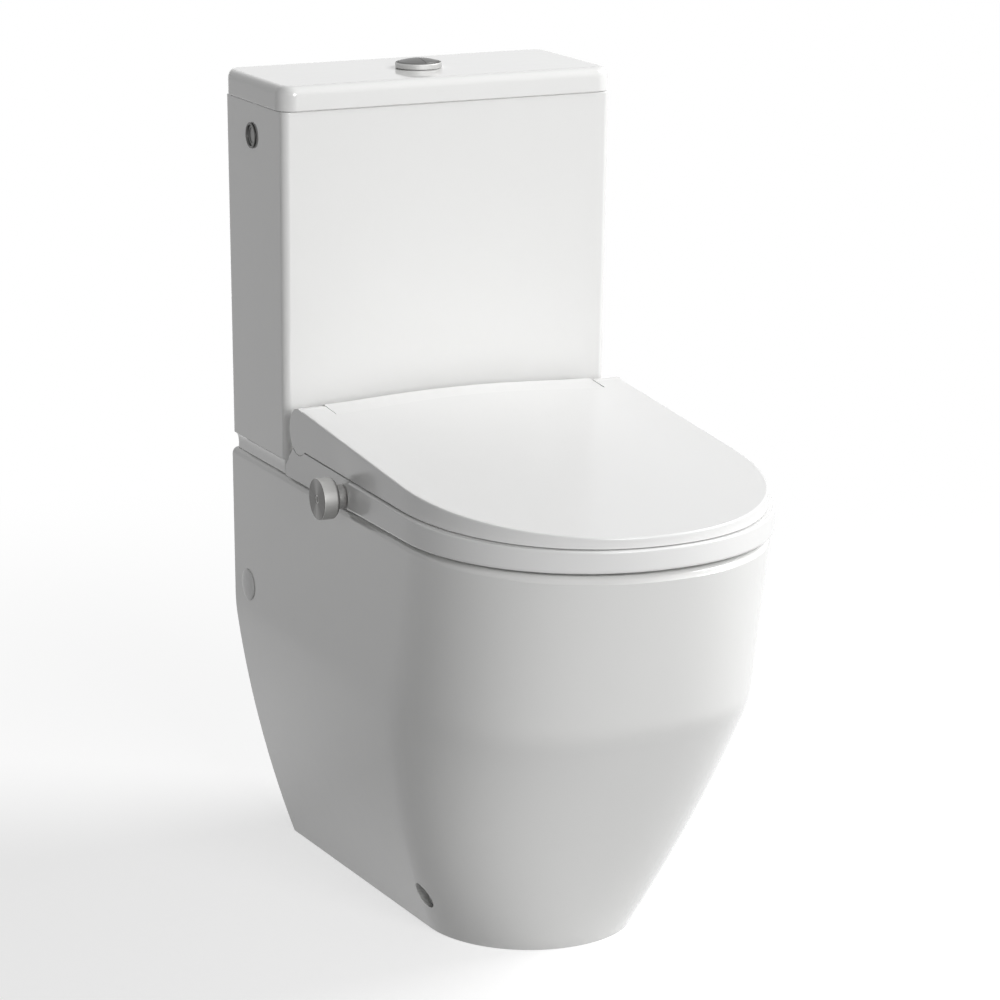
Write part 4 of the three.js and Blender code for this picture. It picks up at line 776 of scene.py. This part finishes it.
def turned_metal(name, centre, axis, light, shade, roughness, *zones):
    """Metal turned on a lathe. A zone (measure, limit, light, shade) has its own tones past its limit."""
    made = Finish(name, {"Metallic": 1.0})
    parts, away, rings = lathe_marks(made, centre, axis)
    # The crescent measure places the plug's painted highlight on the front of its inner edge.
    measures = {"along": parts["xyz".index(axis)], "away": away, "highlight_crescent": away - parts[1] * .35}
    smear = made.noise(60, 3)
    marks = rings * .6 + smear * .4
    tone = made.blend(marks, shade, light)
    for measure, limit, zone_light, zone_shade in zones:
        past = made.math("GREATER_THAN", measures[measure], limit)
        tone = made.blend(past, tone, made.blend(marks, zone_shade, zone_light))
    made.paint(tone)
    made.rough(roughness + rings * .14 + smear * .08)
    made.bump((rings, .00003, .35))
    return made.material


def knob_metal(centre, edge, mark):
    """The knob: a turned side, painted lighter to its top for light from above; a face painted dark for
    shade, with painted highlight spokes and a dark ring at its middle.
    """
    made = Finish("turned_knob_metal", {"Metallic": 1.0})
    (along, level, height), away, rings = lathe_marks(made, centre, "x")
    # Painted highlight: the face's spokes and glint make it lighter at its top and bottom, as a brushed face
    # catches light. Its dark tones are painted shade.
    spokes = made.streaks(made.math("ARCTAN2", level, height), 5.0, 2.0)
    painted_glint = (abs(height) / (away + MM / 100)) ** 9 * .6 + spokes * .4 + rings * .15
    ringed = made.math("COMPARE", away, mark, .7 * MM) * .85
    face = made.blend(ringed, made.blend(painted_glint, (.065, .064, .062), (.23, .228, .224)), (.012, .012, .012))
    worn = rings * .4 + made.noise(60, 3) * .2
    # Painted light: the side is lighter towards its top, where light from above falls on it.
    side = made.blend(worn + height / (KNOB.radius * MM) * .4, (.4, .398, .39), (.56, .557, .547))
    on_face = made.math("LESS_THAN", along, edge)
    made.color(on_face, side, face)
    made.rough(.5 - on_face * .14 + rings * .12)
    made.bump((rings, .00003, .35))
    return made.material


def rubbery(name, light, shade):
    made = Finish(name, {"IOR": 1.45, "Specular IOR Level": .3})
    bloom, grain = made.noise(40, 3), made.noise(900, 3)
    made.color(bloom * .6 + grain * .4, shade, light)
    made.rough(.62 + bloom * .15 + grain * .1)
    made.bump((grain, .00008, .5))
    return made.material


PAN_GLAZE = glaze("pan_glaze", (.87, .87, .86), (.85, .85, .838), .07)
TANK_GLAZE = glaze("tank_glaze", (.87, .87, .862), (.852, .852, .842), .06)
COVER_GLAZE = glaze("cover_glaze", (.872, .872, .864), (.853, .853, .843), .06)
SEAT_GLOSS = moulded("seat_gloss", (.885, .885, .88), (.872, .872, .866), .16, 500, .00002, .25)
HOUSING_GLOSS = moulded("housing_gloss", (.88, .88, .874), (.866, .866, .86), .2, 500, .00002, .2)
WHITE_PLASTIC = moulded("white_plastic", (.8, .8, .79), (.75, .75, .735), .36)
GREY_PLASTIC = moulded("grey_plastic", (.34, .35, .36), (.28, .29, .3), .45)
BLUE_PLASTIC = moulded("blue_plastic", (.13, .24, .36), (.1, .2, .31), .42)
STEEL = metal("brushed_steel", (.62, .62, .61), (.5, .5, .49), .24, (1, 1, 14))
CHROME = metal("polished_chrome", (.78, .79, .8), (.7, .71, .72), .07, None, 90)
BRASS = metal("yellow_brass", (.72, .55, .27), (.58, .42, .19), .24)
BLACK_RUBBER = rubbery("black_rubber", (.035, .035, .036), (.02, .02, .021))
PALE_RUBBER = rubbery("pale_rubber", (.66, .66, .64), (.58, .58, .56))
KNOB_METAL = knob_metal((0, WALL - KNOB.line * MM, KNOB.z * MM), (.4 - KNOB.face) * MM, 3.6 * MM)
# Painted shade: the button plates and the top of the bezel's rim get these darker tones than the bezel's
# band, for the shade on up-facing metal.
TOP_SHADE_TONES = ((.2, .2, .197), (.12, .12, .118))
BEZEL_METAL = turned_metal("turned_bezel_metal", (0, WALL - BUTTON.line * MM, 0), "z",
                           (.56, .56, .552), (.48, .48, .472), .5,
                           ("along", (COVER_TOP + GAP + BUTTON.band - .5) * MM, *TOP_SHADE_TONES))
BUTTON_METAL = turned_metal("turned_button_metal", (0, WALL - BUTTON.line * MM, 0), "z",
                            *TOP_SHADE_TONES, .3)
PLUG_EDGE = PLUG.radius - PLUG.ring
# Painted reflection: the plug's ring and inner slant get dark tones for the dark surroundings they would
# mirror, all but a crescent that is a painted highlight.
PLUG_PAINTED_SHADE = ((.1, .1, .098), (.05, .05, .049))
PLUG_METAL = turned_metal("turned_plug_metal", (0, WALL - PORT.line * MM, PORT.z * MM), "x",
                          (.2, .2, .197), (.09, .09, .088), .2,
                          ("away", PLUG_EDGE * MM, *PLUG_PAINTED_SHADE),
                          ("highlight_crescent", PLUG_EDGE * 1.36 * MM, (.85, .85, .84), (.75, .75, .74)),
                          ("away", (PLUG_EDGE + PLUG.slant) * MM, *PLUG_PAINTED_SHADE))
CAP_METAL = turned_metal("turned_cap_metal", (0, WALL - FLOOR_SCREW.line * MM, FLOOR_SCREW.z * MM), "x",
                         (.3, .3, .295), (.13, .13, .128), .22)
CAP_WHITE = moulded("cap_white", (.885, .885, .88), (.87, .87, .864), .24)
SLOT_FINISH = {
    "pan_china": PAN_GLAZE, "tank_china": TANK_GLAZE, "cover_china": COVER_GLAZE, "seat_plastic": SEAT_GLOSS,
    "white_plastic": WHITE_PLASTIC, "grey_plastic": GREY_PLASTIC, "blue_plastic": BLUE_PLASTIC,
    "satin_metal": KNOB_METAL, "steel": STEEL, "bright_chrome": CHROME, "yellow_brass": BRASS,
    "black_rubber": BLACK_RUBBER, "pale_rubber": PALE_RUBBER}


# Shapes made by rule
class Shape(Nodes):
    """A geometry tree with named inputs. It works on an object's own mesh and leaves a plain mesh."""

    def __init__(self, name, **inputs):
        super().__init__(bpy.data.node_groups.new(name, "GeometryNodeTree"))
        for label, kind in {"Geometry": "Geometry", **inputs}.items():
            self.tree.interface.new_socket(label, in_out="INPUT", socket_type="NodeSocket" + kind)
        self.tree.interface.new_socket("Geometry", in_out="OUTPUT", socket_type="NodeSocketGeometry")
        self.inputs = self.tree.nodes.new("NodeGroupInput").outputs

    def end(self, geometry):
        whole = self.out("GeometryNodeRealizeInstances", {0: geometry})
        coated = self.out("GeometryNodeSetMaterial", {0: whole, "Material": self.inputs["Material"]})
        self.add("NodeGroupOutput", {0: coated})
        return self

    def apply(self, obj, **values):
        step = obj.modifiers.new(self.tree.name, "NODES")
        step.node_group = self.tree
        for item in self.tree.interface.items_tree:
            if item.in_out == "INPUT" and item.name in values:
                step[item.identifier] = values[item.name]
        return baked(obj)


def lathe_shape():
    """Turns a profile, drawn as edges at (radius, height), about the z axis."""
    shape = Shape("lathe", Sides="Int", Middle="Float", Material="Material")
    middle = Wire(shape, shape.inputs["Middle"])
    profile = shape.out("GeometryNodeMeshToCurve", {0: shape.inputs["Geometry"]})
    inward = shape.out("ShaderNodeCombineXYZ", {"X": middle * -1.0})
    drawn = shape.out("GeometryNodeTransform", {0: profile, "Translation": inward})
    circle = shape.out("GeometryNodeCurvePrimitiveCircle", {"Resolution": shape.inputs["Sides"],
                                                            "Radius": middle})
    skin = shape.out("GeometryNodeCurveToMesh", {0: circle, 1: drawn})
    closed = shape.out("GeometryNodeMergeByDistance", {0: skin, "Distance": .00001})
    return shape.end(shape.out("GeometryNodeFlipFaces", {0: closed}))


def pads_shape():
    """Sets a pad on every point of a mesh."""
    shape = Shape("pads", Pad="Object", Size="Float", Material="Material")
    pad = shape.out("GeometryNodeObjectInfo", {0: shape.inputs["Pad"]}, "Geometry")
    points = shape.out("GeometryNodeMeshToPoints", {0: shape.inputs["Geometry"]})
    scale = shape.out("ShaderNodeCombineXYZ", {axis: shape.inputs["Size"] for axis in "XYZ"})
    placed = shape.out("GeometryNodeInstanceOnPoints", {"Points": points, "Instance": pad, "Scale": scale})
    return shape.end(placed)


LATHE, PADS = lathe_shape(), pads_shape()


def turned(name, profile, material, sides=FINE):
    """A turned piece from its profile of (radius, height) points, which starts on the axis or goes round."""
    mesh = bpy.data.meshes.new(name)
    points = [(radius * MM, -height * MM, 0) for radius, height in profile]
    edges = [(index, index + 1) for index in range(len(points) - 1)]
    if profile[0][0] > 0:
        edges.append((len(points) - 1, 0))
    mesh.from_pydata(points, edges, [])
    return LATHE.apply(linked(name, mesh), Sides=sides, Middle=.05, Material=material)


def rounded(profile, radius, steps=4):
    """The profile with each corner off the axis rounded."""
    made = []
    count = len(profile)
    goes_round = profile[0][0] > 0
    for index, corner in enumerate(profile):
        if not goes_round and index in (0, count - 1):
            made.append(corner)
            continue
        here = np.array(corner, float)
        before, after = (np.array(profile[(index + step) % count], float) - here for step in (-1, 1))
        reach = min(radius, np.linalg.norm(before) * .45, np.linalg.norm(after) * .45)
        first = here + before / np.linalg.norm(before) * reach
        last = here + after / np.linalg.norm(after) * reach
        for share in np.linspace(0, 1, steps):
            bend = first * (1 - share) ** 2 + here * 2 * share * (1 - share) + last * share ** 2
            made.append(tuple(bend))
    return made


def set_at(obj, place, turn=None):
    """Turns a mesh about the origin and moves it to its place in the frame, in millimetres from the wall."""
    if turn:
        obj.data.transform(Matrix.Rotation(math.radians(turn[1]), 4, turn[0]))
    obj.data.transform(Matrix.Translation(Vector(metres([place])[0])))
    return obj


# Small pieces
def smooth(obj):
    obj.data.shade_smooth()
    obj.data.set_sharp_from_angle(angle=SMOOTH_ANGLE)
    step = obj.modifiers.new("shading", "WEIGHTED_NORMAL")
    step.keep_sharp, step.weight = True, 100
    baked(obj)


def eased(obj, width, segments=2, angle=38):
    """Takes the sharpness off a piece's edges, as moulding, casting or tumbling does."""
    step = obj.modifiers.new("edges", "BEVEL")
    step.width, step.segments, step.limit_method = width * MM, segments, "ANGLE"
    step.angle_limit, step.use_clamp_overlap = math.radians(angle), True
    return baked(obj)


def finished(obj, material, slot, body, *nodes):
    """Gives a piece its finish and its body, and hides the CAD nodes that it stands for."""
    obj.data.materials.clear()
    obj.data.materials.append(material)
    smooth(obj)
    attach(obj, body)
    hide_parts(*nodes)


def make_bezel():
    foot, well = COVER_TOP + GAP, BUTTON.shank - BUTTON.wall
    bottom, rim = foot - BUTTON.below, foot + BUTTON.band - BUTTON.sunk
    outline = [(BUTTON.shank, bottom), (BUTTON.shank, foot), (BUTTON.radius, foot), (BUTTON.radius, rim),
               (well, rim + BUTTON.brim), (well, bottom + BUTTON.floor), (AXIS, bottom + BUTTON.floor),
               (AXIS, bottom)]
    bezel = set_at(turned("flush_bezel", rounded(outline, BUTTON.soft), BEZEL_METAL), (0, -BUTTON.line, 0))
    return cut(bezel, *both(bar("z", (bottom - OVER, bottom + BUTTON.floor + OVER),
                                (BUTTON.rod_apart, -BUTTON.line), BUTTON.rod + GAP)))


def make_button_half(name, side):
    """Half of the domed push plate, with the rod below it."""
    top = COVER_TOP + GAP + BUTTON.band - BUTTON.sunk
    foot, brim, reach = top - BUTTON.thick, top + BUTTON.brim, BUTTON.shank - BUTTON.wall - GAP
    dome = [(radius, brim + (BUTTON.dome - BUTTON.brim) * (1 - (radius / reach) ** 2))
            for radius in np.linspace(0, reach - BUTTON.rim, 20)]
    profile = [*dome, (reach, brim - BUTTON.rim_low), (reach, foot), (0, foot)][::-1]
    plate = set_at(turned(name, profile, BUTTON_METAL), (0, -BUTTON.line, 0))
    merge("INTERSECT", plate, block((side * BUTTON.half_split, side * FAR), (-FAR, 0),
                                    (foot - OVER, top + BUTTON.dome + OVER)))
    rod = bar("z", (VALVE_HEAD + BUTTON.rod_foot, foot + BUTTON.thick / 3),
              (side * BUTTON.rod_apart, -BUTTON.line), BUTTON.rod)
    return eased(joined(plate, rod), BUTTON.eased, 1)


def make_knob():
    """The knob, turned about z and then laid on its side; its face looks left."""
    length = KNOB.face - KNOB.back
    collar_end, spindle_end = KNOB.face - HOUSING.half - GAP, KNOB.face - KNOB.spindle_end
    outline = [(0, KNOB.sunk), (KNOB.mark_in, KNOB.sunk), (KNOB.mark_in + KNOB.mark_edge, KNOB.mark_deep),
               (KNOB.mark_out - KNOB.mark_edge, KNOB.mark_deep), (KNOB.mark_out, 0), (KNOB.radius, 0),
               (KNOB.radius, length - KNOB.back_bevel), (KNOB.radius - KNOB.back_bevel, length),
               (KNOB.collar, length), (KNOB.collar, collar_end), (KNOB.spindle, collar_end),
               (KNOB.spindle, spindle_end), (0, spindle_end)]
    knob = turned("selector_knob", rounded(outline, KNOB.bevel), KNOB_METAL)
    return set_at(knob, (-KNOB.face, -KNOB.line, KNOB.z), ("Y", 90))


def make_plug():
    """The plug in the tank's side: a ring round a sunk disc, and a shank through the wall."""
    wall = mixed(TANK.low_half, TANK.half, tank_share(PORT.z)) + GAP
    deep, end = PLUG.proud + PLUG.deep, PLUG.proud + PLUG.long
    outline = [(0, deep - PLUG.sag), (PLUG_EDGE, deep), (PLUG_EDGE + PLUG.slant, 0), (PLUG.radius, 0),
               (PLUG.radius, PLUG.proud), (PLUG.shank, PLUG.proud), (PLUG.shank, end), (0, end)]
    plug = turned("tank_plug", rounded(outline, PLUG.soft, 5), PLUG_METAL)
    return set_at(plug, (-wall - PLUG.proud, -PORT.line, PORT.z), ("Y", 90))


def make_side_cap(name, side):
    """The flat white cap low on the skirt's back end, on a stem."""
    surface = raw_plan(SIDE_CAP.z).rear + GAP
    dome = [(SIDE_CAP.radius * math.cos(turn), SIDE_CAP.dome * (1 + 5 * math.sin(turn)) / 6)
            for turn in np.radians(np.linspace(0, SIDE_CAP.turn, 12))]
    outline = [(0, -SIDE_CAP.stem_long), (SIDE_CAP.stem, -SIDE_CAP.stem_long), (SIDE_CAP.stem, 0),
               (SIDE_CAP.radius - SIDE_CAP.edge, 0), *dome, (0, SIDE_CAP.dome)]
    cap = turned(name, outline, CAP_WHITE)
    return set_at(cap, (side * surface, -SIDE_CAP.line, SIDE_CAP.z), ("Y", 90 * side))


def make_bore_cap(name, side):
    """The small bright cap that closes the bore of the floor screw."""
    screw = FLOOR_SCREW
    face = raw_plan(screw.z).side - screw.cap_in
    radius, thick = screw.bore - GAP, screw.cap
    outline = [(0, 0), (radius, 0), (radius, thick - screw.cap_edge), (radius - screw.cap_rim, thick),
               (radius - screw.cap_disc, thick - screw.cap_deep), (0, thick - screw.cap_sag)]
    cap = turned(name, rounded(outline, screw.cap_soft, 5), CAP_METAL, ROUND)
    return set_at(cap, (side * (face - thick), -screw.line, screw.z), ("Y", 90 * side))


def make_pads(name, places, foot, high, radius):
    """Rubber feet, set on their places by the pads tree."""
    outline = [(0, 0), (radius * PAD.foot_share, 0), (radius, high * PAD.taper_share), (radius, high),
               (0, high)]
    pad = turned("pad_form", rounded(outline, min(PAD.soft, high / 3)), PALE_RUBBER, ROUND)
    points = piece(name, [(x, y, foot) for x, y in places], [])
    made = PADS.apply(points, Pad=pad, Size=1.0, Material=PALE_RUBBER)
    bpy.data.objects.remove(pad)
    return made


# The toilet, piece by piece
BASE = "toilet_body"
finished(make_pan(), PAN_GLAZE, "pan_china", BASE, "pan", "pan_bowl", "pan_trap")
finished(make_tank(), TANK_GLAZE, "tank_china", BASE, "cistern_tank")
finished(make_cover(), COVER_GLAZE, "cover_china", BASE, "cistern_lid")
finished(eased(make_housing(), HOUSING.soft), HOUSING_GLOSS, "seat_plastic", BASE, "seat_housing")
finished(make_lid(), SEAT_GLOSS, "seat_plastic", "lid_body", "seat_lid")
finished(make_ring(), SEAT_GLOSS, "seat_plastic", "seat_ring_body", "seat_ring")
finished(make_bezel(), BEZEL_METAL, "satin_metal", BASE, "button_bezel")
for half, side in (("half", -1), ("full", 1)):
    finished(make_button_half(f"{half}_flush_plate", side), BUTTON_METAL, "satin_metal",
             f"{half}_button_body", f"{half}_flush_button")
finished(make_knob(), KNOB_METAL, "satin_metal", "knob_body", "control_knob")
finished(make_plug(), PLUG_METAL, "bright_chrome", BASE, "side_plug")
for hand, side in SIDES:
    finished(make_side_cap(f"skirt_cap_{hand}", side), CAP_WHITE, "white_plastic", BASE, f"side_cap_{hand}")
    finished(make_bore_cap(f"bore_cap_{hand}", side), CAP_METAL, "bright_chrome", BASE,
             f"floor_screw_cap_{hand}")

seat_pads = make_pads("seat_pads", [(side * x, -line) for x, line in SEAT_PAD_PLACES for _, side in SIDES],
                      RIM_Z + GAP, RING_FORM.foot - RIM_Z - 2 * GAP, SEAT_PAD_RADIUS)
finished(seat_pads, PALE_RUBBER, "pale_rubber", "seat_ring_body",
         *(f"seat_buffer_{end}_{hand}" for end in ("back", "front") for hand, _ in SIDES))
lid_pad_foot = seam_at(-LID_PAD.line) + GAP
lid_pad_top = lid_top(LID_PAD.x, -LID_PAD.line) - LID_FORM.wall - LID_FORM.edge
lid_pads = make_pads("lid_pads", [(side * LID_PAD.x, -LID_PAD.line) for _, side in SIDES], lid_pad_foot,
                     lid_pad_top - lid_pad_foot, LID_PAD.radius)
finished(lid_pads, PALE_RUBBER, "pale_rubber", "lid_body", *(f"lid_buffer_{hand}" for hand, _ in SIDES))


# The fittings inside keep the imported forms, with their edges eased and their own finishes.
def refined(node, material, slot, body):
    made = linked(f"{node}_refined", frame["nodes"][node].data.copy())
    form = bmesh.new()
    form.from_mesh(made.data)
    bmesh.ops.remove_doubles(form, verts=form.verts, dist=FITTING.weld * MM)
    bmesh.ops.dissolve_limit(form, angle_limit=math.radians(FITTING.flat_angle), verts=form.verts,
                             edges=form.edges)
    form.to_mesh(made.data)
    form.free()
    finished(eased(made, FITTING.eased, angle=FITTING.eased_angle), material, slot, body, node)


node_slot = {row["node"]: row["material_slot"] for row in frame["record"]["subparts"]}
node_body = {node: body for body, nodes in frame["record"]["behaviour"]["bodies"].items() for node in nodes}
for node in sorted(frame["nodes"]):
    if not frame["nodes"][node].hide_render:
        refined(node, SLOT_FINISH[node_slot[node]], node_slot[node], node_body[node])


# Floor, light and camera, in metres
WHITE = (1, 1, 1, 1)
FLOOR = Sizes(reach=14.0, z=-.0004, bounce=(.37, .37, .37, 1), shaded=(.5, .5, .5, 1), lift=.64,
              near=.7, far=1.9)
ROOM_LIGHT = .16
LAMPS = (("right_lamp", 75, 40, 178), ("front_lamp", 0, 15, 113))
LAMP = Sizes(away=4.8, size=2.4, target=Vector((0, 0, .4)))
CAMERA = Sizes(lens=141.01, sensor=36, reach=100, place=(-1.60435, -3.37669, 1.35568), down=13.989,
               aside=25.102)


def seen_by_ray(nodes, lighting, seen):
    """One shader for the light that falls on the object, another for the camera, mirrors and glass."""
    ray = nodes.add("ShaderNodeLightPath").outputs
    direct = nodes.math("MAXIMUM", ray["Is Camera Ray"], ray["Is Glossy Ray"])
    direct = nodes.math("MAXIMUM", direct, ray["Is Transmission Ray"])
    return nodes.out("ShaderNodeMixShader", {0: direct, 1: lighting, 2: seen})


def floor_finish():
    """A pale floor. The camera sees it white, but for the shadow near the object."""
    made = bpy.data.materials.new("pale_floor")
    nodes = Nodes(cleared(made))
    paper, shaded = (nodes.out("ShaderNodeBsdfDiffuse", {"Color": tone})
                     for tone in (FLOOR.bounce, FLOOR.shaded))
    lift, white = (nodes.out("ShaderNodeEmission", {"Color": WHITE, "Strength": strength})
                   for strength in (FLOOR.lift, 1.0))
    near = nodes.out("ShaderNodeAddShader", {0: shaded, 1: lift})
    place = nodes.out("ShaderNodeTexCoord", output="Object")
    away = nodes.out("ShaderNodeVectorMath", {0: place}, 1, operation="LENGTH")
    fade = nodes.out("ShaderNodeMapRange", {"Value": away, "From Min": FLOOR.near, "From Max": FLOOR.far},
                     interpolation_type="SMOOTHSTEP")
    seen = nodes.out("ShaderNodeMixShader", {0: fade, 1: near, 2: white})
    nodes.add("ShaderNodeOutputMaterial", {"Surface": seen_by_ray(nodes, paper, seen)})
    return made


def make_floor():
    mesh = bpy.data.meshes.new("floor")
    corners = ((-1, -1), (1, -1), (1, 1), (-1, 1))
    mesh.from_pydata([(x * FLOOR.reach, y * FLOOR.reach, FLOOR.z) for x, y in corners], [], [(0, 1, 2, 3)])
    floor = linked("floor", mesh)
    floor.data.materials.append(floor_finish())


def make_world():
    world = bpy.data.worlds.new("studio")
    bpy.context.scene.world = world
    nodes = Nodes(cleared(world))
    room, backdrop = (nodes.out("ShaderNodeBackground", {"Color": WHITE, "Strength": strength})
                      for strength in (ROOM_LIGHT, 1.0))
    nodes.add("ShaderNodeOutputWorld", {"Surface": seen_by_ray(nodes, room, backdrop)})


def make_lamp(name, azimuth, lift, power):
    """A soft round lamp, so far from the middle of the toilet; azimuth 0 is its front and 90 its right."""
    azimuth, lift = math.radians(azimuth), math.radians(lift)
    light = bpy.data.lights.new(name, "AREA")
    light.shape, light.size, light.energy = "DISK", LAMP.size, power
    lamp, level = linked(name, light), LAMP.away * math.cos(lift)
    lamp.location = LAMP.target + Vector((level * math.sin(azimuth), -level * math.cos(azimuth),
                                          LAMP.away * math.sin(lift)))
    lamp.rotation_euler = (LAMP.target - lamp.location).to_track_quat("-Z", "Y").to_euler()


def make_camera():
    camera = bpy.data.cameras.new("camera")
    camera.lens, camera.sensor_width, camera.clip_end = CAMERA.lens, CAMERA.sensor, CAMERA.reach
    viewer = linked("camera", camera)
    viewer.location = CAMERA.place
    viewer.rotation_euler = (math.radians(90 - CAMERA.down), 0, math.radians(-CAMERA.aside))
    bpy.context.scene.camera = viewer


make_floor()
make_world()
for lamp in LAMPS:
    make_lamp(*lamp)
make_camera()
bpy.context.scene.view_settings.view_transform = "Standard"
